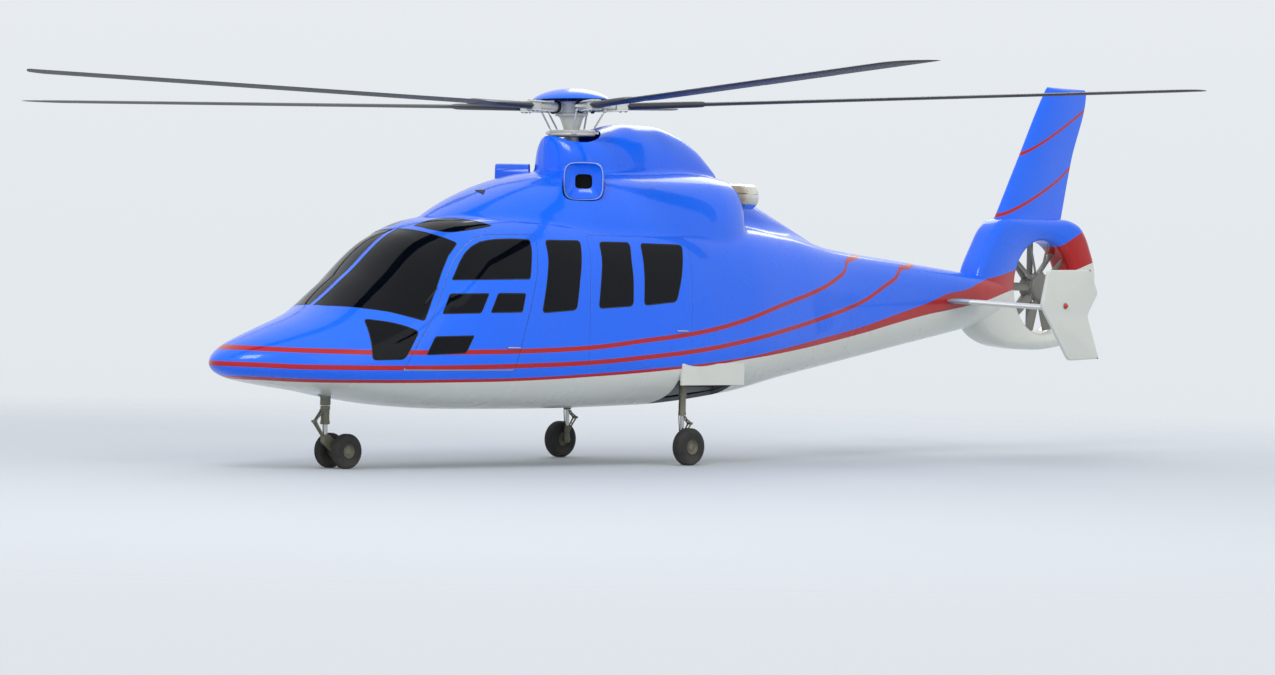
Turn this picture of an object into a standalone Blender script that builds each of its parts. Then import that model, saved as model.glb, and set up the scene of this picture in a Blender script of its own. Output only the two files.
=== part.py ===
# A five-blade helicopter with a ducted tail fan, standing on its three wheel units.
# +X points to the nose, +Y to the left (port) side, +Z up. The origin is on the ground, on the
# centreline, between the two main wheels. Lengths are metres.

import math

import bmesh
import bpy
import numpy as np
from mathutils import Matrix, Vector

GAP = 0.0003  # left between pieces that touch
DOOR_GAP = 0.006  # round a door that swings
PANEL_GAP = 0.003  # round a sliding door in its shut place

# The rotor, its mast and the tail fan.
HUB = Vector((0.82, 0.0, 3.595))
MAST_TILT = math.radians(1.84)
ROTOR_RADIUS = 6.73
BLADE_COUNT = 5
CONING = math.radians(1.67)
FAN_CENTRE = Vector((-6.61, 0.0, 1.905))
DUCT_RADIUS = 0.535
FAN_RADIUS = 0.523
FAN_BLADES = 10
FAN_STAYS = 8
DUCT_STEPS = 32
STAY_TIP = DUCT_RADIUS * math.cos(math.pi / DUCT_STEPS) - GAP

# The wheels.
MAIN_WHEEL = {"radius": 0.19, "half_width": 0.070, "track": 1.90}
NOSE_WHEEL = {"radius": 0.168, "half_width": 0.055, "track": 0.25, "x": 3.795}
NOSE_PIVOT_X = 3.96
AXLE_RADIUS = 0.018
AXLE_STEPS = 16
WHEEL_STEPS = 24
FLAT_HEIGHT = math.cos(math.pi / WHEEL_STEPS)  # an axle's height as a share of the wheel's radius

# The hull, as few sections from the nose to inside the tail fan's housing.
NOSE_TIP = 5.283
# Columns: x, belly z, widest z, top z, half width, upper roundness, lower roundness.
HULL = (
    (NOSE_TIP, 1.005, 1.005, 1.005, 0.000, 2.0, 2.0),
    (5.120, 0.870, 1.000, 1.170, 0.285, 2.1, 2.1),
    (4.650, 0.785, 0.990, 1.360, 0.560, 2.0, 2.2),
    (4.200, 0.728, 0.990, 1.535, 0.745, 2.0, 2.3),
    (3.750, 0.655, 1.020, 1.855, 0.870, 2.05, 2.4),
    (3.200, 0.590, 1.080, 2.275, 0.965, 2.3, 2.6),
    (2.700, 0.564, 1.150, 2.430, 1.005, 3.0, 2.8),
    (1.600, 0.558, 1.200, 2.500, 1.030, 4.3, 3.0),
    (0.200, 0.585, 1.220, 2.510, 1.030, 4.3, 3.0),
    (-0.900, 0.680, 1.280, 2.490, 0.950, 4.0, 2.9),
    (-1.900, 0.845, 1.400, 2.410, 0.780, 3.6, 2.7),
    (-2.800, 0.985, 1.520, 2.265, 0.600, 3.4, 2.5),
    (-4.100, 1.205, 1.650, 2.150, 0.410, 3.0, 2.4),
    (-5.450, 1.440, 1.770, 2.030, 0.260, 2.6, 2.2),
    (-6.000, 1.560, 1.820, 1.980, 0.170, 2.2, 2.2),
)
WALL = 0.040  # cabin walls and doors
REAR_WALL = 0.020
BOOM_WALL = 0.015
SHROUD_WALL = 0.020
RING_STEPS = 24

# Where one hull panel ends and the next begins, from the nose back.
NOSE_JOINT = 4.33
CABIN_JOINT = 2.14
BULKHEAD = -0.90
BOOM_JOINT = -2.80
BOOM_END = -5.95
# Every hull panel, wall layer and trimmed neighbour has its sections at these same places.
STATIONS = (
    5.279, 5.200, 5.000, 4.800, 4.580, NOSE_JOINT, 4.040, 3.750, 3.475, 3.200, 2.950, 2.700, 2.380,
    CABIN_JOINT, 1.600, 0.200, BULKHEAD, -1.400, -1.900, BOOM_JOINT, -3.450, -4.100, -5.000, BOOM_END,
)
FLOOR_TOP = 0.90
FLOOR_THICKNESS = 0.04

# Window and door outlines as seen from the side: x, z.
CENTRE_POST = 0.028  # half the width of the post between the windscreen halves
WINDSCREEN = (
    (4.165, 1.552), (4.06, 1.546), (3.95, 1.530), (3.784, 1.503), (3.659, 1.468), (3.484, 1.420),
    (3.347, 1.658), (3.202, 1.877), (3.071, 2.044), (2.924, 2.177), (3.041, 2.258), (3.109, 2.299),
    (3.130, 2.330), (3.160, 2.600), (4.165, 2.600),
)
CHIN_WINDOW = (
    (4.014, 1.441), (4.033, 1.281), (4.051, 1.047), (3.722, 1.058), (3.550, 1.328), (3.680, 1.380),
    (3.809, 1.413),
)
ROOF_WINDOW = (
    (3.047, 0.150), (3.025, 0.380), (2.960, 0.520), (2.872, 0.590), (2.750, 0.635), (2.600, 0.660),
    (2.450, 0.668), (2.530, 0.560), (2.620, 0.400), (2.720, 0.250), (2.850, 0.180),
)
DOOR_WINDOWS = (
    ((3.133, 1.814), (2.254, 1.839), (2.216, 2.000), (2.182, 2.128), (2.165, 2.232), (2.372, 2.234),
     (2.529, 2.226), (2.635, 2.212), (2.726, 2.193), (2.823, 2.149), (2.916, 2.083), (3.000, 1.993)),
    ((3.301, 1.490), (2.867, 1.504), (2.756, 1.701), (3.181, 1.690)),
    ((2.764, 1.509), (2.363, 1.519), (2.315, 1.709), (2.658, 1.705)),
    ((3.501, 1.101), (3.050, 1.121), (2.949, 1.296), (3.395, 1.283)),
)
DOOR_GLASS = (
    (3.555, 1.060), (2.960, 1.080), (2.330, 1.460), (2.215, 1.840), (2.140, 2.250), (2.400, 2.252),
    (2.640, 2.236), (2.850, 2.150), (2.950, 2.065), (3.140, 1.840), (3.315, 1.560), (3.420, 1.380),
)
FRONT_DOOR = (
    (3.728, 0.967), (2.448, 0.971), (2.352, 1.279), (2.254, 1.600), (2.170, 1.900), (2.095, 2.270),
    (2.400, 2.270), (2.640, 2.255), (2.775, 2.215), (2.895, 2.140), (3.030, 2.020), (3.165, 1.840),
    (3.335, 1.570), (3.425, 1.420), (3.555, 1.246),
)
SILL_DROP = 0.030  # how far the front doorway's sill lies below the door's, so that it can swing
CABIN_WINDOWS = (
    ((2.120, 1.513), (1.658, 1.549), (1.612, 1.847), (1.571, 2.043), (1.538, 2.238), (1.999, 2.232),
     (2.006, 2.053), (2.050, 1.839)),
    ((1.370, 1.566), (0.889, 1.597), (0.883, 1.860), (0.893, 2.058), (0.865, 2.237), (1.296, 2.232),
     (1.301, 2.049), (1.334, 1.852)),
    ((0.746, 1.604), (0.282, 1.647), (0.212, 1.872), (0.167, 2.074), (0.134, 2.230), (0.732, 2.232),
     (0.733, 2.062), (0.736, 1.863)),
)
CABIN_DOOR = ((1.480, 0.985), (0.060, 1.000), (0.060, 2.290), (1.430, 2.290), (1.480, 1.800))
CABIN_DOOR_GLASS = ((1.410, 1.530), (0.240, 1.600), (0.092, 2.268), (1.360, 2.268), (1.390, 1.850))

SIDES = (("left", 1), ("right", -1))


def clear_scene():
    for obj in list(bpy.data.objects):
        bpy.data.objects.remove(obj, do_unlink=True)


def material(name, colour, roughness, metallic=0.0, alpha=1.0):
    found = bpy.data.materials.get(name)
    if found:
        return found
    made = bpy.data.materials.new(name)
    made.use_nodes = True
    shader = made.node_tree.nodes["Principled BSDF"]
    shader.inputs["Base Color"].default_value = (*colour, 1.0)
    shader.inputs["Roughness"].default_value = roughness
    shader.inputs["Metallic"].default_value = metallic
    shader.inputs["Alpha"].default_value = alpha
    made.diffuse_color = (*colour, alpha)
    return made


def blue():
    return material("blue_gloss_paint", (0.020, 0.190, 0.950), 0.20)


def white():
    return material("pale_grey_paint", (0.680, 0.700, 0.660), 0.35)


def glass():
    return material("dark_tinted_glass", (0.010, 0.014, 0.020), 0.05, alpha=0.45)


def olive_metal():
    return material("olive_grey_leg_paint", (0.200, 0.200, 0.160), 0.40, 0.5)


def pale_metal():
    return material("pale_hub_metal", (0.600, 0.600, 0.580), 0.40, 0.6)


def rubber():
    return material("tyre_rubber", (0.012, 0.012, 0.012), 0.70)


def smooth_rows(table, key, wanted):
    """Rows between the sections of a table, on a curve that never overshoots them."""
    known = np.array([key(row[0]) for row in table])
    values = np.array([row[1:] for row in table], dtype=float)
    wanted = np.array([key(x) for x in wanted])
    steps = np.diff(known)
    slopes = np.diff(values, axis=0) / steps[:, None]
    tangents = np.zeros_like(values)
    tangents[0], tangents[-1] = slopes[0], slopes[-1]
    before, after = slopes[:-1], slopes[1:]
    weight_one = (2 * steps[1:] + steps[:-1])[:, None]
    weight_two = (steps[1:] + 2 * steps[:-1])[:, None]
    same_way = before * after > 0
    safe_before = np.where(same_way, before, 1.0)
    safe_after = np.where(same_way, after, 1.0)
    mean = (weight_one + weight_two) / (weight_one / safe_before + weight_two / safe_after)
    tangents[1:-1] = np.where(same_way, mean, 0.0)
    at = np.clip(np.searchsorted(known, wanted, side="right") - 1, 0, len(steps) - 1)
    part = ((wanted - known[at]) / steps[at])[:, None]
    step = steps[at][:, None]
    return (
        (2 * part**3 - 3 * part**2 + 1) * values[at]
        + (part**3 - 2 * part**2 + part) * step * tangents[at]
        + (3 * part**2 - 2 * part**3) * values[at + 1]
        + (part**3 - part**2) * step * tangents[at + 1]
    )


def from_tip(x):
    return math.sqrt(max(NOSE_TIP - x, 0.0))


def hull_ring(x, inset=0.0):
    """One closed section of the hull: a rounded box whose upper and lower halves differ."""
    belly, widest, top, half, upper, lower = smooth_rows(HULL, from_tip, [x])[0]
    belly, top, half = belly + inset, top - inset, half - inset
    angles = np.arange(RING_STEPS) * (2 * math.pi / RING_STEPS) - math.pi / 2
    across, up = np.cos(angles), np.sin(angles)
    power = np.where(up >= 0, upper, lower)
    height = np.where(up >= 0, top - widest, widest - belly)
    y = half * np.sign(across) * np.abs(across) ** (2 / power)
    z = widest + height * np.sign(up) * np.abs(up) ** (2 / power)
    return [(x, float(a), float(b)) for a, b in zip(y, z)]


def panel_places(front, rear):
    """The places of a panel's sections: its two ends and the stations between."""
    return [front, *(x for x in STATIONS if rear + 0.01 < x < front - 0.01), rear]


def layer_places(front, rear):
    """The stations that cover a length of hull, for a layer or trim that is cut afterwards."""
    first = max(k for k, x in enumerate(STATIONS) if x >= min(front, STATIONS[0]))
    last = min(k for k, x in enumerate(STATIONS) if x <= max(rear, STATIONS[-1]))
    return list(STATIONS[first : last + 1])


def add_object(name, mesh, paint=None):
    obj = bpy.data.objects.new(name, mesh)
    bpy.context.scene.collection.objects.link(obj)
    if paint:
        mesh.materials.append(paint)
        mesh.shade_smooth()
        mesh.set_sharp_from_angle(angle=math.radians(35))
    else:
        obj.hide_render = True
        obj.display_type = "WIRE"
    return obj


def closed_mesh(name, points, faces):
    """A mesh whose faces all point outwards."""
    mesh = bpy.data.meshes.new(name)
    mesh.from_pydata([tuple(p) for p in points], [], faces)
    shape = bmesh.new()
    shape.from_mesh(mesh)
    bmesh.ops.recalc_face_normals(shape, faces=shape.faces)
    if shape.calc_volume(signed=True) < 0:
        bmesh.ops.reverse_faces(shape, faces=shape.faces)
    shape.to_mesh(mesh)
    shape.free()
    return mesh


def skin_faces(bands, count, start=0):
    """Triangles between rings, with the diagonals of one half mirrored on the other."""
    faces = []
    for band in range(bands):
        first, second = start + band * count, start + (band + 1) * count
        for k in range(count):
            n = (k + 1) % count
            a, b, c, d = first + k, first + n, second + n, second + k
            faces += ((a, b, c), (a, c, d)) if 2 * k < count else ((a, b, d), (b, c, d))
    return faces


def loft(name, rings, paint=None):
    """A solid through closed rings with the same number of points; its two ends are flat."""
    count = len(rings[0])
    points = [p for ring in rings for p in ring]
    faces = skin_faces(len(rings) - 1, count)
    faces.append(tuple(range(count)))
    last = (len(rings) - 1) * count
    faces.append(tuple(range(last, last + count)))
    return add_object(name, closed_mesh(name, points, faces), paint)


def turned(name, profile, axis, centre, steps, paint=None):
    """A profile of (radius, along) points turned about an axis; radius 0 closes its ends."""
    turn = {"x": Matrix.Rotation(math.pi / 2, 4, "Y"), "z": Matrix.Identity(4),
            "y": Matrix.Rotation(-math.pi / 2, 4, "X")}[axis]
    place = Matrix.Translation(centre) @ turn
    points, faces, rows = [], [], []
    for radius, along in profile:
        if radius == 0:
            rows.append([len(points)])
            points.append(place @ Vector((0, 0, along)))
            continue
        rows.append(list(range(len(points), len(points) + steps)))
        for k in range(steps):
            angle = 2 * math.pi * (k + 0.5) / steps
            points.append(place @ Vector((radius * math.cos(angle), radius * math.sin(angle), along)))
    closed_loop = profile[0] != profile[-1] and profile[0][0] > 0
    pairs = list(zip(rows, rows[1:]))
    if closed_loop:
        pairs.append((rows[-1], rows[0]))
    for low, high in pairs:
        for k in range(steps):
            n = (k + 1) % steps
            if len(low) == 1 and len(high) == 1:
                continue
            if len(low) == 1:
                faces.append((low[0], high[k], high[n]))
            elif len(high) == 1:
                faces.append((low[k], high[0], low[n]))
            else:
                faces.append((low[k], low[n], high[n], high[k]))
    return add_object(name, closed_mesh(name, points, faces), paint)


def prism(name, outline, low, high, axis="y", paint=None):
    """An outline drawn in a plane and extruded between two places along the third axis."""
    place = {
        "x": lambda a, b, d: (d, a, b),
        "y": lambda a, b, d: (a, d, b),
        "z": lambda a, b, d: (a, b, d),
    }[axis]
    return loft(name, [[place(a, b, d) for a, b in outline] for d in (low, high)], paint)


def box(name, low, high, paint=None):
    outline = ((low[0], low[1]), (high[0], low[1]), (high[0], high[1]), (low[0], high[1]))
    return prism(name, outline, low[2], high[2], "z", paint)


def moved_edges(outline, distance):
    """The outline with each edge moved outwards by a distance, or inwards where it is negative."""
    points = [Vector(p) for p in outline]
    area = sum(a.x * b.y - b.x * a.y for a, b in zip(points, points[1:] + points[:1]))
    side = 1 if area > 0 else -1
    result = []
    for before, here, after in zip(points[-1:] + points[:-1], points, points[1:] + points[:1]):
        one, two = (here - before).normalized(), (after - here).normalized()
        normal_one = Vector((one.y, -one.x)) * side
        normal_two = Vector((two.y, -two.x)) * side
        corner = (normal_one + normal_two).normalized()
        reach = distance / max(corner.dot(normal_one), 0.3)
        result.append(tuple(here + corner * reach))
    return result


def mirrored(outline):
    return [(a, -b) for a, b in outline]


def combine(obj, other, operation="DIFFERENCE"):
    change = obj.modifiers.new(f"{operation.lower()}_{other.name}", "BOOLEAN")
    change.operation = operation
    change.solver = "EXACT"
    change.object = other
    return obj


def set_origin(obj, point):
    obj.data.transform(Matrix.Translation(-Vector(point)))
    obj.location = point


def hull_solid(name, places, inset, paint=None):
    return loft(name, [hull_ring(x, inset) for x in places], paint)


def hull_tube(name, places, outer, inner, paint=None):
    """A length of hull wall between two insets from its outside, open at both ends."""
    rings = [hull_ring(x, outer) for x in places] + [hull_ring(x, inner) for x in places]
    count, bands = RING_STEPS, len(places) - 1
    shift = len(places) * count
    faces = skin_faces(bands, count) + skin_faces(bands, count, shift)
    for end in (0, bands * count):
        for k in range(count):
            n = (k + 1) % count
            faces.append((end + k, end + n, shift + end + n, shift + end + k))
    return add_object(name, closed_mesh(name, [p for ring in rings for p in ring], faces), paint)


def side_span(side, near, far):
    return (near, far) if side > 0 else (-far, -near)


def nose_cone():
    """The blunt nose, a cup that is open towards the cockpit."""
    nose = hull_solid("nose_cone", panel_places(STATIONS[0], NOSE_JOINT + GAP), 0.0, blue())
    hollow = [x for x in STATIONS if NOSE_JOINT < x < 5.10] + [NOSE_JOINT - 0.01]
    combine(nose, hull_solid("nose_hollow", hollow, WALL))


def windows_cut(obj, outlines, side, grow=0.0):
    label = "left" if side > 0 else "right"
    for number, outline in enumerate(outlines):
        shape = moved_edges(outline, grow) if grow else outline
        cutter = prism(f"{obj.name}_{label}_window_{number}", shape, *side_span(side, 0.3, 1.3))
        combine(obj, cutter)


def glazing(name, outline, side, front, rear, outer, inner):
    """A curved pane: a thin layer of the hull's wall inside an outline."""
    pane = hull_tube(name, layer_places(front, rear), outer, inner, glass())
    keep = prism(f"{name}_outline", outline, *side_span(side, 0.3, 1.3))
    return combine(pane, keep, "INTERSECT")


SHEET = (0.010, 0.016)  # depths of a pane that spans several openings, inside the wall
PANE = (0.003, 0.010)  # depths of a pane in its own opening


def slot_for(obj, name, outline, low, high, front, rear):
    """Cuts the slot in a wall that a spanning pane sits in."""
    layer = hull_tube(f"{name}_slot_layer", layer_places(front, rear), SHEET[0] - GAP, SHEET[1] + GAP)
    area = prism(f"{name}_slot_area", moved_edges(outline, GAP), low, high)
    combine(layer, area, "INTERSECT")
    combine(obj, layer)


WINDSCREEN_SHEET = (
    (4.190, 1.520), (4.06, 1.515), (3.95, 1.500), (3.784, 1.474), (3.659, 1.440), (3.476, 1.394),
    (3.325, 1.650), (3.180, 1.868), (3.050, 2.030), (2.897, 2.178), (3.035, 2.280), (3.095, 2.320),
    (3.105, 2.350), (3.130, 2.620), (4.190, 2.620),
)
SHEET_FRONT = 4.20


def front_doorway():
    """The opening that the front door shuts, with its sill lower than the door's edge."""
    outline = [Vector(p) for p in moved_edges(FRONT_DOOR, DOOR_GAP)]
    for low, above in ((0, -1), (1, 2)):
        edge = outline[above] - outline[low]
        outline[low] -= edge * (SILL_DROP / edge.y)
    return outline


def canopy():
    """The cockpit's frame: windscreen, roof and chin openings and the front doorways."""
    frame = hull_tube("canopy_frame", panel_places(NOSE_JOINT - GAP, CABIN_JOINT + GAP), 0.0, WALL, blue())
    for label, side in SIDES:
        combine(frame, prism(f"windscreen_opening_{label}", WINDSCREEN, *side_span(side, CENTRE_POST, 1.3)))
        combine(frame, prism(f"doorway_{label}", front_doorway(), *side_span(side, 0.3, 1.3)))
        combine(frame, prism(f"chin_opening_{label}", CHIN_WINDOW, *side_span(side, 0.3, 1.3)))
        roof = ROOF_WINDOW if side > 0 else mirrored(ROOF_WINDOW)
        combine(frame, prism(f"roof_opening_{label}", roof, 2.0, 2.7, "z"))
    slot_for(frame, "windscreen", WINDSCREEN_SHEET, -1.3, 1.3, SHEET_FRONT, 2.70)
    sheet = hull_tube("windscreen", layer_places(SHEET_FRONT, 2.70), *SHEET, glass())
    combine(sheet, prism("windscreen_sheet_outline", WINDSCREEN_SHEET, -1.3, 1.3), "INTERSECT")
    for label, side in SIDES:
        glazing(f"chin_window_{label}", moved_edges(CHIN_WINDOW, -GAP), side, 4.20, 3.40, *PANE)
        roof = moved_edges(ROOF_WINDOW if side > 0 else mirrored(ROOF_WINDOW), -GAP)
        pane = hull_tube(f"roof_window_{label}", layer_places(3.20, 2.38), *PANE, glass())
        combine(pane, prism(f"roof_window_outline_{label}", roof, 2.0, 2.7, "z"), "INTERSECT")


# The front door's hinge line stands off the skin, ahead of the door's front edge.
# Columns: x, y, z, the post's reach inwards, the arm's reach inwards, the arm's length.
FRONT_HINGE = (
    (3.658, 0.918, 1.120, 0.040, 0.040, 0.070),
    (3.268, 0.866, 1.716, 0.040, 0.011, 0.055),
)
KNUCKLE = {"length": 0.030, "radius": 0.010}


def hinge_knuckles(frame, door, label, side):
    """Two stacked knuckles on the hinge line: a post on the frame, a cranked arm on the door."""
    low, high = (Vector((row[0], side * row[1], row[2])) for row in FRONT_HINGE)
    line = (high - low).normalized()
    across = Vector((0, side, 0))
    outward = (across - line * across.dot(line)).normalized()
    aft = line.cross(outward)
    aft = aft if aft.x < 0 else -aft
    radius = KNUCKLE["radius"]
    for number, row in enumerate(FRONT_HINGE):
        reach, foot = row[5], row[5] - 2 * radius
        place = Vector((row[0], side * row[1], row[2]))
        post = ((-radius, radius), (radius, radius), (radius, -row[3]), (-radius, -row[3]))
        arm = ((-radius, -radius), (foot, -radius), (foot, -row[4]), (reach, -row[4]), (reach, radius),
            (-radius, radius))
        spans = ((frame, post, -KNUCKLE["length"], -GAP / 2), (door, arm, GAP / 2, KNUCKLE["length"]))
        for owner, outline, start, end in spans:
            rings = [[tuple(place + line * s + aft * a + outward * b) for a,
                b in outline] for s in (start, end)]
            combine(owner, loft(f"{owner.name}_knuckle_{label}_{number}", rings), "UNION")


def front_doors():
    for label, side in SIDES:
        door = hull_tube(f"front_door_{label}", layer_places(3.80, 2.07), 0.0, WALL, blue())
        combine(door, prism(f"front_door_outline_{label}", FRONT_DOOR, *side_span(side, 0.3, 1.3)),
            "INTERSECT")
        windows_cut(door, DOOR_WINDOWS, side)
        slot_for(door, f"front_door_{label}", DOOR_GLASS, *side_span(side, 0.3, 1.3), 3.70, 2.07)
        pane = glazing(f"front_door_glass_{label}", DOOR_GLASS, side, 3.70, 2.07, *SHEET)
        hinge_knuckles(bpy.data.objects["canopy_frame"], door, label, side)
        low = FRONT_HINGE[0]
        for piece in (door, pane):
            set_origin(piece, (low[0], side * low[1], low[2]))


def cabin():
    shell = hull_tube("cabin_shell", panel_places(CABIN_JOINT - GAP, BULKHEAD + GAP), 0.0, WALL, blue())
    for label, side in SIDES:
        windows_cut(shell, CABIN_WINDOWS[:1], side)
        doorway = moved_edges(CABIN_DOOR, PANEL_GAP)
        combine(shell, prism(f"cabin_doorway_{label}", doorway, *side_span(side, 0.3, 1.3)))
        combine(shell, bpy.data.objects[f"doorway_{label}"])
        bay = box(f"gear_bay_opening_{label}", (BAY["rear"], *side_span(side, BAY["inner"], 1.2)[:1], 0.3),
                  (BAY["front"], side_span(side, BAY["inner"], 1.2)[1], BAY["top"]))
        combine(shell, bay)
        door = hull_tube(f"cabin_door_{label}", layer_places(1.60, 0.0), 0.0, WALL, blue())
        combine(door, prism(f"cabin_door_outline_{label}", CABIN_DOOR, *side_span(side, 0.3, 1.3)),
            "INTERSECT")
        windows_cut(door, CABIN_WINDOWS[1:], side)
        slot_for(door, f"cabin_door_{label}", CABIN_DOOR_GLASS, *side_span(side, 0.3, 1.3), 1.50, 0.0)
        glazing(f"cabin_door_glass_{label}", CABIN_DOOR_GLASS, side, 1.50, 0.0, *SHEET)
        glazing(f"cabin_window_{label}", moved_edges(CABIN_WINDOWS[0], -GAP), side, 2.20, 1.40, *PANE)


def rear_fuselage():
    """The bay behind the cabin, closed in front by the cabin's rear wall."""
    bay = hull_solid("rear_fuselage", panel_places(BULKHEAD - GAP, BOOM_JOINT + GAP), 0.0, blue())
    combine(bay, hull_solid("rear_fuselage_hollow", panel_places(BULKHEAD - WALL, BOOM_JOINT - 0.05),
        REAR_WALL))


def tail_boom():
    boom = hull_tube("tail_boom", panel_places(BOOM_JOINT - GAP, BOOM_END), 0.0, BOOM_WALL, blue())
    combine(boom, shroud_solid("boom_end_cut", GAP))
    combine(boom, stabiliser_solid("stabiliser_slot", GAP))


BAY = {"front": 0.18, "rear": -0.78, "inner": 0.50, "top": 0.86}
BAY_WALL = 0.012


def cabin_floor():
    """The cabin floor, with the walls of the two main wheel bays hanging under it."""
    floor = box("cabin_floor", (BULKHEAD + 0.02, -1.1, FLOOR_TOP - FLOOR_THICKNESS),
        (4.05, 1.1, FLOOR_TOP), pale_metal())
    for label, side in SIDES:
        near, far = side_span(side, BAY["inner"] - BAY_WALL, 1.1)
        walls = box(f"bay_walls_{label}", (BAY["rear"] - BAY_WALL, near, 0.4),
            (BAY["front"] + BAY_WALL, far, 0.88))
        inner_low, inner_high = side_span(side, BAY["inner"], 1.2)
        space = box(f"bay_space_{label}", (BAY["rear"], inner_low, 0.3),
            (BAY["front"], inner_high, BAY["top"]))
        combine(walls, space)
        combine(floor, walls, "UNION")
    combine(floor, hull_solid("floor_trim", layer_places(NOSE_JOINT, BULKHEAD), WALL + GAP), "INTERSECT")


SEAT_PROFILE = (
    (3.16, 1.14), (3.16, 1.26), (2.74, 1.24), (2.60, 1.90), (2.50, 1.88), (2.62, 1.14), (2.78, 1.12),
    (2.78, 0.94),
    (2.98, 0.94), (2.98, 1.12),
)
BENCH_PROFILE = (
    (0.46, FLOOR_TOP + GAP), (0.46, 1.30), (0.02, 1.28), (-0.14, 1.92), (-0.26, 1.90),
    (-0.16, FLOOR_TOP + GAP),
)
PANEL_PROFILE = (
    (3.86, FLOOR_TOP + GAP), (3.86, 1.20), (3.62, 1.36), (3.72, 1.42), (4.10, 1.36),
    (4.10, FLOOR_TOP + GAP),
)


def interior():
    rail = box("front_seats", (2.74, -0.66, FLOOR_TOP + GAP), (3.02, 0.66, 0.95),
               material("dark_seat_fabric", (0.03, 0.03, 0.035), 0.9))
    for label, side in SIDES:
        combine(rail, prism(f"seat_shape_{label}", SEAT_PROFILE, *side_span(side, 0.16, 0.62)), "UNION")
    prism("rear_bench", BENCH_PROFILE, -0.72, 0.72, "y",
        material("dark_seat_fabric", (0.03, 0.03, 0.035), 0.9))
    panel = prism("instrument_panel", PANEL_PROFILE, -0.80, 0.80, "y",
                  material("black_panel", (0.015, 0.015, 0.015), 0.6))
    combine(panel, hull_solid("panel_trim", layer_places(4.20, 3.40), WALL + GAP), "INTERSECT")


# The cowlings: x, half width, top z, roundness of the section. The hull trims the bottoms.
COWL_BASE = 2.10
COWL_WALL = 0.020
COWL = (
    (2.80, 0.34, 2.380, 2.2), (2.50, 0.55, 2.540, 2.3), (2.15, 0.70, 2.695, 2.4), (1.80, 0.79, 2.820, 2.4),
    (1.45, 0.84, 2.905, 2.5), (1.00, 0.87, 2.960, 2.6), (0.40, 0.88, 2.990, 2.6), (-0.30, 0.87, 2.995, 2.8),
    (-0.80, 0.83, 2.975, 3.4), (-1.12, 0.78, 2.950, 4.0),
)
AFT_BASE = 2.00
AFT_COWL = (
    (-1.1203, 0.50, 2.920, 2.2), (-1.50, 0.50, 2.790, 2.2), (-1.95, 0.46, 2.615, 2.2),
    (-2.40, 0.40, 2.430, 2.2),
    (-2.82, 0.34, 2.255, 2.2),
)
PYLON_BASE = 2.80
PYLON_WALL = 0.015
PYLON = (
    (1.160, 0.060, 3.295, 3.2), (1.130, 0.168, 3.300, 3.2), (1.050, 0.288, 3.305, 3.2),
    (0.900, 0.390, 3.312, 3.2),
    (0.745, 0.420, 3.330, 3.2), (0.450, 0.415, 3.400, 3.0), (0.150, 0.395, 3.460, 2.8),
    (-0.200, 0.350, 3.462, 2.6),
    (-0.550, 0.290, 3.395, 2.6), (-0.850, 0.225, 3.260, 2.8), (-1.040, 0.175, 3.125, 3.0),
    (-1.150, 0.150, 3.030, 3.2),
)
ARCH_STEPS = 16


def arch(x, half, top, base, power, inset=0.0):
    """Half a rounded box standing on a flat base, as one closed ring."""
    angles = np.linspace(0.0, math.pi, ARCH_STEPS + 1)
    across, up = np.cos(angles), np.sin(angles)
    y = (half - inset) * np.sign(across) * np.abs(across) ** (2 / power)
    z = base + (top - inset - base) * np.abs(up) ** (2 / power)
    return [(x, float(a), float(b)) for a, b in zip(y, z)]


def arch_solid(name, table, base, inset=0.0, paint=None):
    """A cowling, or its hollow, from a table of x, half width, top z and roundness."""
    rows = list(table)
    if inset > 0:
        rows = [(rows[0][0] - inset, *rows[0][1:]), *rows[1:-1], (rows[-1][0] + inset, *rows[-1][1:])]
    lowered = base - max(inset, 0.0)
    return loft(name, [arch(x, half, top, lowered, power, inset) for x, half, top, power in rows], paint)


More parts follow.
